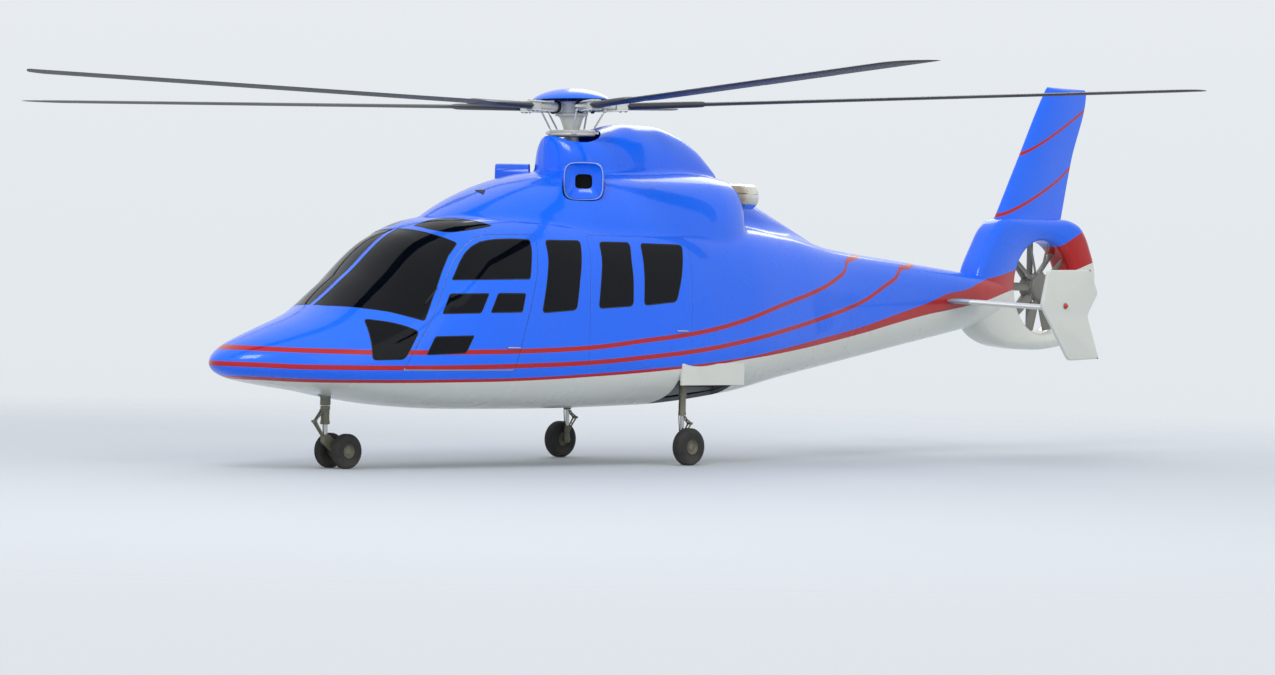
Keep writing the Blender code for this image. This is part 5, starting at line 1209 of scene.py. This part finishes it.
def makeRotor():
    curve = smoothCurve(bladeTable[:, 0], bladeTable[:, 1:])
    radii = np.concatenate([(0.5803, 0.585, 0.595), np.linspace(0.62, 1.33, 26), (1.345, 1.352, 1.358, 1.365),
                            np.linspace(1.39, 1.60, 10), np.linspace(1.70, 6.25, 60),
                            np.linspace(6.30, 6.69, 16), (6.705, 6.716, 6.724, 6.729)])
    arms, clamps, bolts, bearings, links, brackets = [], [], [], [], [], []
    for number in range(mast["blades"]):
        flat = rotorFrame @ Matrix.Rotation(2 * math.pi * number / mast["blades"], 4, "Z")
        turn = flat @ Matrix.Rotation(-mast["cone"], 4, "Y")
        sections = []
        for radius in radii:
            lead, trail, thick = curve(radius)
            blunt = float(np.clip((1.36 - radius) / 0.7, 0.0, 1.0))
            end = float(np.clip((radius - 0.5803) / 0.012, 0.35, 1.0))
            along, side = streamlined(lead + trail, 48, blunt)
            sections.append(np.stack([np.full(48, radius), -lead + along, side * thick * end], -1))
        tab = extrudedShape(((3.6, 0.286), (4.9, 0.286), (4.9, 0.2915), (3.6, 0.2915)), -0.0012, 0.0012, "z")
        blade = [placed(gridShape(np.array(sections)), turn), placed(tab, turn)]
        addPiece(f"blade_skin_{number + 1}", blade, "blackBladePaint", [f"rotor_blade_{number + 1}"],
                 body="main_rotor", sharp=50)
        sleeve = turnedShape(rounded(((0.0, 0.13), (0.047, 0.13), (0.050, 0.20), (0.050, 0.27),
                                      (0.043, 0.285), (0.040, 0.36), (0.036, 0.45), (0.0, 0.45)), 0.008, 3),
                             36, "x")
        yoke = [extrudedShape(softOutline(((0.27, -0.040), (0.40, -0.062), (0.578, -0.062), (0.578, 0.062),
                                           (0.40, 0.062), (0.27, 0.040)), 0.02, 0.02), low, high, "z", 0.003)
                for low, high in ((0.037, 0.051), (-0.051, -0.037))]
        block = extrudedShape(softOutline(((0.455, -0.048), (0.575, -0.048), (0.575, 0.048), (0.455, 0.048)),
                                          0.012, 0.02), -0.0365, 0.0365, "z", 0.003)
        arms += [placed(s, turn) for s in (sleeve, block)]
        clamps += [placed(s, turn) for s in yoke]
        horn = extrudedShape(softOutline(((0.29, -0.03), (0.31, -0.118), (0.35, -0.118), (0.37, -0.03)),
                                         0.012, 0.01), -0.014, 0.014, "z", 0.003)
        arms.append(placed(horn, turn))
        damper = turnedShape(rounded(((0.0, 0.195), (0.060, 0.195), (0.064, 0.203), (0.064, 0.222),
                                      (0.060, 0.230), (0.0, 0.230)), 0.003, 2), 32, "x")
        bearings.append(placed(damper, turn))
        for x, y in ((0.50, -0.030), (0.50, 0.030), (0.555, -0.030), (0.555, 0.030), (0.34, 0.0)):
            for low, high in ((0.0505, 0.0595), (-0.0595, -0.0505)):
                head = rodShape(0.010, low, high, 6, "z", (x, y, 0))
                bolts.append(placed(head, turn))
        low, high = Vector((0.20, -0.085, -0.24)), Vector((0.33, -0.100, -0.03))
        link = tubeShape([low.lerp(high, t) for t in (0, 0.16, 0.2, 0.8, 0.84, 1)],
                         [0.0065, 0.0065, 0.0095, 0.0095, 0.0065, 0.0065], 16)
        ends = [turnedShape(rounded(((0.0, -0.009), (0.015, -0.009), (0.015, 0.009), (0.0, 0.009)), 0.003),
                            20, "y", tuple(p)) for p in (low, high)]
        links += [placed(s, flat) for s in (link, *ends)]
        lug = extrudedShape(softOutline(((0.19, -0.112), (0.265, -0.105), (0.245, -0.06), (0.18, -0.06)),
                                        0.008, 0.01), -0.270, -0.245, "z", 0.002)
        links.append(placed(lug, flat))
        arm = extrudedShape(((0.07, 0.0765), (0.14, 0.0765), (0.34, 0.080), (0.36, 0.088), (0.20, 0.140),
                             (0.07, 0.155)), -0.008, 0.008, "y", 0.002)
        brackets.append(placed(arm, flat))
    barrel = rounded(((0.0, -0.50), (0.075, -0.50), (0.075, -0.30), (0.080, -0.22), (0.112, -0.12),
                      (0.128, -0.088), (0.168, -0.080), (0.1695, -0.060), (0.150, -0.052), (0.150, 0.044),
                      (0.1695, 0.050), (0.1695, 0.062), (0.10, 0.0745), (0.0, 0.0745)), 0.010, 4)
    shaft = placed(turnedShape(barrel, 72, "z"), rotorFrame)
    for k in range(15):
        spot = 2 * math.pi * (k + 0.5) / 15
        head = rodShape(0.008, 0.062, 0.0715, 6, "z", (0.148 * math.cos(spot), 0.148 * math.sin(spot), 0))
        bolts.append(placed(head, rotorFrame))
    addPiece("hub_body", [shaft, *arms], "paleHubPaint", ["rotor_hub"], body="main_rotor", sharp=40)
    addPiece("hub_clamps", clamps, "paleSatinPaint", body="main_rotor")
    addPiece("hub_bolts", bolts, "dullSteel", body="main_rotor")
    addPiece("hub_dampers", bearings, "blackRubber", body="main_rotor")
    ring = rounded(((0.0753, -0.29), (0.20, -0.29), (0.235, -0.288), (0.245, -0.275), (0.245, -0.262),
                    (0.236, -0.258), (0.236, -0.250), (0.245, -0.246), (0.245, -0.235), (0.22, -0.225),
                    (0.12, -0.225), (0.0753, -0.225)), 0.004, 3)
    star = placed(outward(turnedShape(ring + [ring[0]], 72, "z", caps=False)), rotorFrame)
    addPiece("swashplate_body", [star, *links], "paleHubPaint", ["swashplate"], body="main_rotor", sharp=40)
    # The cap's outer and inner faces are domes, each with its height as a power of the part of its radius.
    dome = [(0.390 * s, 0.0900 + 0.1078 * (1 - s**2) ** 0.75) for s in np.linspace(0.05, 1, 22)]
    under = [(0.380 * s, 0.082 + 0.098 * (1 - s**2) ** 0.75) for s in np.linspace(0.97, 0.05, 18)]
    edge = [(0.392, 0.0875), (0.390, 0.0850), (0.380, 0.0870)]
    cap = turnedShape([(0.0, 0.1978), *dome, *edge, *under, (0.0, 0.180)], 96, "z", caps=False)
    cap = outward(placed(cap, rotorFrame))
    addPiece("hub_cap_skin", cap, "blueGlossPaint", ["hub_cap"], body="main_rotor",
             sharp=50)
    post = placed(rodShape(0.045, 0.0765, 0.178, 24, "z"), rotorFrame)
    addPiece("hub_cap_brackets", [*brackets, post], "blackRubber", body="main_rotor")
    print("main rotor made")


# The landing gear.

mainWheel = {"radius": 0.19, "half": 0.070, "y": 0.95}
noseWheel = {"radius": 0.168, "half": 0.055, "y": 0.125, "x": 3.795}
flatHeight = math.cos(math.pi / 24)


def wheelShapes(radius, half):
    # A tyre with four grooves round its tread, a dished hub inside it, and a ring of bolts.
    grooves, deep = 4, 0.45
    rim, w, r = radius * 0.40, half, radius
    wall = [(rim, w * 0.83), (rim * 1.05, w * 0.88), (rim * 1.12, w * 0.86), (r * 0.60, w * 0.97),
            (r * 0.72, w * 0.995), (r * 0.84, w * 0.93), (r * 0.93, w * 0.76), (r * 0.972, w * 0.58),
            (r * 0.990, w * 0.46)]
    tread = []
    for y in np.linspace(w * 0.40, w * -0.40, grooves):
        tread += [(r * 0.9975, y + 0.0032), (r * 0.975, y + 0.0022), (r * 0.975, y - 0.0022),
                  (r * 0.9975, y - 0.0032)]
    profile = rounded([*wall, *tread, *[(a, -y) for a, y in reversed(wall)]], 0.002, 2)
    tyre = turnedShape(profile, 96, "y", caps=False)
    inside = turnedShape(((rim, -w * 0.83), (rim * 0.99, -w * 0.80), (rim * 0.99, w * 0.80), (rim, w * 0.83)),
                         96, "y", caps=False)
    tyre = outward({**joined([tyre, inside]), "slots": [0, 0], "normals": [None, None]})
    hubs = []
    for way in (1, -1):
        side = rounded(((0.0, w * 0.60), (rim * 0.36, w * 0.60), (rim * 0.46, w * 0.56),
                        (rim * 0.50, w * deep), (rim * 0.80, w * deep), (rim * 0.90, w * 0.60),
                        (rim * 0.92, w * 0.80), (rim * 0.985, w * 0.845), (rim * 0.985, w * 0.1)), 0.003, 3)
        hub = turnedShape(side, 72, "y", caps=False)
        right = (hub["points"][:, 1].mean() > 0) == outwardFrom(hub, np.array([0, -1.0, 0]))
        hub = hub if right else flipped(hub)
        hubs.append(hub if way > 0 else mirrored(hub))
        for k in range(8):
            spot = 2 * math.pi * (k + 0.5) / 8
            place = (rim * 0.66 * math.cos(spot), 0, rim * 0.66 * math.sin(spot))
            hubs.append(mirrored(rodShape(0.0045, w * deep, w * deep + 0.005, 6, "y", place), way))
    return tyre, hubs


def moved(shape, place):
    return placed(shape, Matrix.Translation(place))


def makeMainGear():
    height = mainWheel["radius"] * flatHeight
    tyre, hubs = wheelShapes(mainWheel["radius"], mainWheel["half"])
    for label, side in sides:
        centre = (0.0, side * mainWheel["y"], height)
        addPiece(f"main_tyre_{label}", moved(mirrored(tyre, side), centre), "tyreRubber",
                 [f"main_wheel_{label}"], body=f"main_wheel_{label}", sharp=50)
        addPiece(f"main_hub_{label}", [moved(mirrored(h, side), centre) for h in hubs], "oliveLegPaint",
                 body=f"main_wheel_{label}", sharp=40)
        y = side * 0.85
        upper = rounded(((0.0, 0.50), (0.026, 0.50), (0.040, 0.503), (0.040, 0.535), (0.036, 0.54),
                         (0.036, 0.70), (0.040, 0.704), (0.040, 0.735), (0.036, 0.74), (0.036, 0.859),
                         (0.0, 0.859)), 0.004, 3)
        lowerCollar = rounded(((0.0, 0.262), (0.031, 0.262), (0.031, 0.325), (0.024, 0.335), (0.0, 0.335)),
                              0.004, 3)
        knuckle = rounded(((0.0, height - 0.034), (0.028, height - 0.034), (0.032, height - 0.02),
                           (0.032, height + 0.04), (0.024, height + 0.078), (0.0, height + 0.078)), 0.006, 3)
        axle = rounded(((0.0, 0.815), (0.024, 0.815), (0.024, 0.868), (0.0178, 0.872), (0.0178, 0.9690),
                        (0.0, 0.9690)), 0.003, 3)
        shapes = [turnedShape(upper, 48, "z", (0, y, 0)), turnedShape(lowerCollar, 40, "z", (0, y, 0)),
                  turnedShape(knuckle, 40, "z", (0, y, 0)),
                  mirrored(turnedShape(axle, 36, "y", (0, 0, height)), side)]
        for low, high in (((-0.02, 0.485), (-0.112, 0.42)), ((-0.112, 0.42), (-0.018, 0.298))):
            x, z = low[0] * 0.5 + high[0] * 0.5, low[1] * 0.5 + high[1] * 0.5
            for offset in (-0.022, 0.022):
                path = [(low[0], y + offset, low[1]), (x, y + offset * 0.9, z),
                        (high[0], y + offset, high[1])]
                shapes.append(tubeShape(path, [0.010, 0.0075, 0.010], 14))
            shapes.append(tubeShape([(x, y - 0.022, z), (x, y + 0.022, z)], 0.006, 10))
        for x, z, radius in ((-0.112, 0.42, 0.0125), (-0.020, 0.485, 0.011), (-0.018, 0.298, 0.011)):
            shapes.append(tubeShape([(x, y - 0.034, z), (x, y + 0.034, z)], radius, 18))
        addPiece(f"main_leg_skin_{label}", shapes, "oliveLegPaint", [f"main_leg_{label}"])
        piston = rodShape(0.021, height + 0.06, 0.502, 40, "z", (0, y, 0))
        hose = tubeShape([(0.034, y, 0.70), (0.047, y, 0.62), (0.046, y, 0.48), (0.036, y, 0.36),
                          (0.028, y, 0.29)], 0.005, 10)
        addPiece(f"main_piston_{label}", piston, "brightSteel")
        addPiece(f"main_hose_{label}", hose, "blackRubber")
        makeGearDoor(label, side)


def makeNoseGear():
    tyre, hubs = wheelShapes(noseWheel["radius"], noseWheel["half"])
    height = noseWheel["radius"] * flatHeight
    tyres, rims = [], []
    for _, side in sides:
        centre = (noseWheel["x"], side * noseWheel["y"], height)
        tyres.append(moved(mirrored(tyre, side), centre))
        rims += [moved(mirrored(h, side), centre) for h in hubs]
    rims.append(rodShape(0.018, -0.130, 0.130, 36, "y", (noseWheel["x"], 0, height)))
    addPiece("nose_tyres", tyres, "tyreRubber", ["nose_wheels"], body="nose_wheels", sharp=50)
    addPiece("nose_hubs", rims, "oliveLegPaint", body="nose_wheels", sharp=40)
    x = 3.96
    fork = rounded(((0.0, 0.42), (0.030, 0.42), (0.046, 0.424), (0.046, 0.452), (0.042, 0.457),
                    (0.042, 0.560), (0.047, 0.564), (0.047, 0.596), (0.0, 0.596)), 0.004, 3)
    arm = extrudedShape(softOutline(((x + 0.030, 0.325), (x + 0.030, 0.25), (3.83, height - 0.035),
                                     (3.765, height - 0.037), (3.757, height + 0.03), (x - 0.030, 0.325)),
                                    0.012, 0.02), -0.032, 0.032, "y", 0.005)
    boss = turnedShape(rounded(((0.0185, -0.050), (0.034, -0.050), (0.034, 0.050), (0.0185, 0.050)), 0.003),
                       32, "y", (noseWheel["x"], 0, height), caps=False)
    shapes = [turnedShape(fork, 48, "z", (x, 0, 0)), arm, outward(boss)]
    for low, high in (((0.03, 0.56), (0.13, 0.45)), ((0.13, 0.45), (0.02, 0.30))):
        for offset in (-0.020, 0.020):
            shapes.append(tubeShape([(x + low[0], offset, low[1]), (x + high[0], offset * 0.5, high[1])],
                                    [0.011, 0.009], 14))
    shapes += [tubeShape([(x + a, -0.030, z), (x + a, 0.030, z)], r, 18) for a, z, r in (
        (0.13, 0.45, 0.013), (0.035, 0.555, 0.012), (0.025, 0.30, 0.012))]
    addPiece("nose_fork_skin", shapes, "oliveLegPaint", ["nose_fork"], body="nose_fork")
    piston = rodShape(0.026, 0.28, 0.425, 40, "z", (x, 0, 0))
    addPiece("nose_piston", piston, "brightSteel", body="nose_fork")
    top = float(hullRow(x)[0])
    collar = rounded(((0.0, 0.6005), (0.044, 0.6005), (0.050, 0.606), (0.050, top + 0.05), (0.0, top + 0.05)),
                     0.004, 3)
    addPiece("nose_leg_skin", turnedShape(collar, 48, "z", (x, 0, 0)), "oliveLegPaint", ["nose_leg"])
    boot = [(0.052 + 0.030 * t + 0.010 * math.sin(t * 18), top + 0.012 - 0.020 + 0.030 * t)
            for t in np.linspace(0, 1, 20)]
    boot = [(0.0505, boot[0][1]), *boot]
    addPiece("nose_leg_boot", turnedShape(boot, 48, "z", (x, 0, 0), caps=False), "paleSeal")
    print("landing gear made")


def makeGearDoor(label, side):
    # A flat panel against the hull beside the wheel bay, 27 mm thick, with softened edges.
    front, rear = wheelBay["front"], wheelBay["rear"]
    x = np.linspace(front, rear, 40)
    outer = 1.022 + (front - x) / (front - rear) * (0.962 - 1.022)
    rows = []
    for d, z in ((0.004, 0.811), (0.0, 0.814), (0.0, 1.030), (0.004, 1.034)):
        rows.append(np.concatenate([np.stack([x, outer - d, np.full(40, z)], -1),
                                    np.stack([x[::-1], outer[::-1] - 0.0268 + d, np.full(40, z)], -1)]))
    panel = mirrored(gridShape(np.array(rows)), side)
    addPiece(f"gear_door_skin_{label}", panel, "paleSatinPaint", [f"gear_door_{label}"])


def makeBays():
    # Ribs across the tops of the two wheel bays, and two pipes along their inner walls.
    for label, side in sides:
        ribs = [extrudedShape(((0.505, 0.832), (0.93, 0.832), (0.93, 0.8585), (0.505, 0.8585)), low,
                              low + 0.012, "x") for low in (-0.70, -0.52, -0.34, -0.16, 0.10)]
        pipes = [tubeShape([(0.15, 0.53, h), (-0.74, 0.53, h)], 0.006, 10) for h in (0.80, 0.775)]
        addPiece(f"bay_ribs_{label}", [mirrored(s, side) for s in ribs], "bayPrimer")
        addPiece(f"bay_pipes_{label}", [mirrored(s, side) for s in pipes], "dullSteel")


# The cabin.


def cushion(centre, size, crown=0.35, power=5.0, rows=40, columns=56, channels=3):
    # A crowned pad: a rounded box whose thickness falls towards its edges, with shallow sewn channels.
    u = np.linspace(-math.pi / 2, math.pi / 2, rows)[:, None]
    v = np.arange(columns)[None, :] * 2 * math.pi / columns

    def bent(value, n):
        return np.sign(value) * np.abs(value) ** (2 / n)

    x = bent(np.cos(u), 3.0) * bent(np.cos(v), power)
    y = bent(np.cos(u), 3.0) * bent(np.sin(v), power)
    z = bent(np.sin(u), 3.0) + 0 * v
    seam = 1 - 0.10 * np.exp(-((np.abs(np.sin(channels * math.pi * (y + 1) / 2)) / 0.12) ** 2))
    z = z * (1 - crown * 0.5 * (x**2 + y**2)) * seam
    grid = np.stack([x * size[0] / 2, y * size[1] / 2, z * size[2] / 2], -1)
    return placed(gridShape(grid), centre)


def makeSeats():
    pads, shells = [], []
    for _, side in sides:
        y = side * 0.39
        base = Matrix.Translation((2.945, y, 1.205)) @ Matrix.Rotation(math.radians(-2.5), 4, "Y")
        pads.append(cushion(base, (0.43, 0.455, 0.115)))
        back = Matrix.Translation((2.630, y, 1.555)) @ Matrix.Rotation(math.radians(78.5), 4, "Y")
        pads.append(cushion(back, (0.62, 0.445, 0.105)))
        shells.append(extrudedShape(((3.12, 1.141), (3.12, 1.165), (2.70, 1.175), (2.565, 1.885),
                                     (2.505, 1.875), (2.625, 1.142)), y - 0.226, y + 0.226, "y", 0.004))
        shells.append(extrudedShape(((2.785, 0.952), (2.975, 0.952), (2.955, 1.15), (2.805, 1.15)), y - 0.12,
                                    y + 0.12, "y", 0.004))
        for offset in (-0.18, 0.18):
            shells.append(extrudedShape(((2.745, 0.9035), (3.015, 0.9035), (3.015, 0.949), (2.745, 0.949)),
                                        y + offset - 0.02, y + offset + 0.02, "y", 0.003))
    seats = addPiece("front_seat_pads", pads, "seatCloth", sharp=80)
    addPiece("front_seat_frames", shells, "blackPanelPaint", ["front_seats"])
    pads = [cushion(Matrix.Translation((0.225, y, 1.245)) @ Matrix.Rotation(math.radians(-3), 4, "Y"),
                    (0.46, 0.465, 0.115)) for y in (-0.475, 0.0, 0.475)]
    pads += [cushion(Matrix.Translation((-0.105, y, 1.585)) @ Matrix.Rotation(math.radians(76), 4, "Y"),
                     (0.62, 0.465, 0.105)) for y in (-0.475, 0.0, 0.475)]
    bench = extrudedShape(((0.44, 0.9035), (0.44, 1.18), (-0.06, 1.195), (-0.205, 1.895), (-0.255, 1.89),
                           (-0.158, 0.9035)), -0.718, 0.718, "y", 0.005)
    benchPads = addPiece("rear_bench_pads", pads, "seatCloth", sharp=80)
    addPiece("rear_bench_frame", bench, "blackPanelPaint", ["rear_bench"])
    print("cabin made")


def makeTrim():
    # Small outside trim: the wiper on the windscreen, door handles, and the small dark wedge on the cowling,
    # a black slab that is painted shade for a scoop's opening.
    def onHull(x, z, lift):
        x = np.array(x, float)
        angle = sideAngle(x, np.array(z, float))
        return Vector(hullPoint(x, angle) + lift * hullNormal(x, angle))

    for label, side in sides:
        for name, x, z, body in (("front", 2.47, 1.18, f"front_door_{label}"),
                                 ("cabin", 0.20, 1.36, "airframe")):
            grip = [onHull(x + 0.075 * t, z, 0.004 + 0.014 * (1 - t**4)) for t in np.linspace(-1, 1, 15)]
            handle = tubeShape(grip, 0.0065, 12)
            addPiece(f"{name}_door_handle_{label}", mirrored(handle, side), "paleSeal", body=body)
        blade = tubeShape([onHull(3.445 - 0.153 * t, 1.585 + 0.153 * t, 0.009) for t in np.linspace(0, 1, 7)],
                          0.006, 10)
        addPiece(f"windscreen_wiper_{label}", mirrored(blade, side), "blackRubber")
    # A thin black slab on the cowling's surface: painted shade where the scoop opens.
    surface = archTop(cowlTable, cowlBase)
    corners = softOutline(((2.115, 0.010), (2.100, 0.140), (2.185, 0.205)), 0.008, 0.01)
    low, high = [np.stack([corners[:, 0], corners[:, 1], surface(corners[:, 0], corners[:, 1]) + lift], -1)
                 for lift in (-0.004, 0.009)]
    addPiece("cowl_scoop_painted_shade", gridShape(np.array([low, high])), "blackPanelPaint")
    print("trim made")


makeTail()
makeFan()
makeRotor()
makeMainGear()
makeNoseGear()
makeBays()
makeSeats()
makeTrim()


def makeStage():
    # A pale floor, an even pale sky and large soft lights; the camera stands where the photograph was taken.
    view = {"place": (25.091, 25.844, 1.651), "yaw": -134.355, "pitch": -0.596, "roll": 1.117,
            "focal": 3494.725, "width": 1275, "sensor": 36.0}
    yaw, pitch, roll = (math.radians(view[key]) for key in ("yaw", "pitch", "roll"))
    look = Vector((math.cos(pitch) * math.cos(yaw), math.cos(pitch) * math.sin(yaw), math.sin(pitch)))
    right = look.cross(Vector((0, 0, 1))).normalized()
    up = right.cross(look)
    right, up = right * math.cos(roll) + up * math.sin(roll), up * math.cos(roll) - right * math.sin(roll)
    camera = bpy.data.cameras.new("photoCamera")
    camera.sensor_width, camera.lens = view["sensor"], view["focal"] * view["sensor"] / view["width"]
    camera.clip_start, camera.clip_end = 0.1, 500.0
    eye = bpy.data.objects.new("photoCamera", camera)
    eye.matrix_world = Matrix((
        (right.x, up.x, -look.x, view["place"][0]), (right.y, up.y, -look.y, view["place"][1]),
        (right.z, up.z, -look.z, view["place"][2]), (0, 0, 0, 1)))
    bpy.context.scene.collection.objects.link(eye)
    bpy.context.scene.camera = eye
    bpy.context.scene.view_settings.view_transform = "Standard"

    world = bpy.data.worlds.new("paleSky")
    world.use_nodes = True
    bpy.context.scene.world = world
    tree = world.node_tree
    place = addNode(tree, "ShaderNodeTexCoord").outputs["Generated"]
    height = addNode(tree, "ShaderNodeSeparateXYZ", {"Vector": place}).outputs["Z"]
    tint = addNode(tree, "ShaderNodeValToRGB", {"Fac": rangeOf(tree, height, -0.3, 0.5)}, ramp=(
        (0.0, srgb("#dde3ea")), (1.0, srgb("#fbfdff")), (0.37, srgb("#e9eef3"))))
    tree.links.new(tint.outputs["Color"], tree.nodes["Background"].inputs["Color"])
    tree.nodes["Background"].inputs["Strength"].default_value = 0.95

    floorMaterial, floorTree, shader = newMaterial("paleFloor", Roughness=0.8)
    shader.inputs["Base Color"].default_value = srgb("#c3c8ce")
    # The floor fades out with the distance from its middle, and it can't be seen from below.
    flat = addNode(floorTree, "ShaderNodeMapping", {"Vector": objectPlace(floorTree),
                                                    "Scale": (1.0, 1.0, 0.0)})
    away = addNode(floorTree, "ShaderNodeVectorMath", {0: flat.outputs["Vector"]}, operation="LENGTH")
    fade = rangeOf(floorTree, away.outputs["Value"], 7.0, 22.0, 1.0, 0.0, interpolation_type="SMOOTHSTEP")
    back = addNode(floorTree, "ShaderNodeNewGeometry").outputs["Backfacing"]
    feed(floorTree, shader.inputs["Alpha"], calculated(floorTree, "SUBTRACT", fade, back, use_clamp=True))
    radius, angle = np.linspace(0.01, 24.0, 25)[:, None], np.linspace(0, 2 * math.pi, 96, endpoint=False)
    grid = np.stack([radius * np.cos(angle), radius * np.sin(angle), 0 * radius * angle - 0.0005], -1)
    floorShape = flipped(gridShape(grid, caps=False))
    mesh = bpy.data.meshes.new("paleFloor")
    mesh.from_pydata(floorShape["points"].tolist(), [], floorShape["faces"][0].tolist())
    mesh.materials.append(floorMaterial)
    floor = bpy.data.objects.new("paleFloor", mesh)
    bpy.context.scene.collection.objects.link(floor)

    # place, size, strength in watts
    lights = (("keyLight", (14, 9, 15), 7.0, 1500), ("fillLight", (2, 22, 9), 12.0, 250),
              ("rimLight", (-14, -10, 13), 9.0, 700))
    for name, spotPlace, size, power in lights:
        lamp = bpy.data.lights.new(name, "AREA")
        lamp.size, lamp.energy = size, power
        obj = bpy.data.objects.new(name, lamp)
        aim = Vector((-1, 0, 1.5)) - Vector(spotPlace)
        obj.matrix_world = Matrix.Translation(spotPlace) @ aim.to_track_quat("-Z", "Y").to_matrix().to_4x4()
        bpy.context.scene.collection.objects.link(obj)


def makeCarriedOver():
    # CAD nodes whose shape is right keep their mesh and take a finish with grain and wear.
    finishes = {
        "cabin_floor": "floorMetal", "engine_left": "castMetal", "engine_right": "castMetal",
        "main_gearbox": "castMetal", "instrument_panel": "blackPanelPaint"}
    for name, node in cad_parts.items():
        finish = materials[finishes.get(name, "paleSatinPaint")]
        if len(node.material_slots) == 0:
            node.data.materials.append(finish)
        for slot in node.material_slots:
            slot.material = finish


makeStage()
makeCarriedOver()
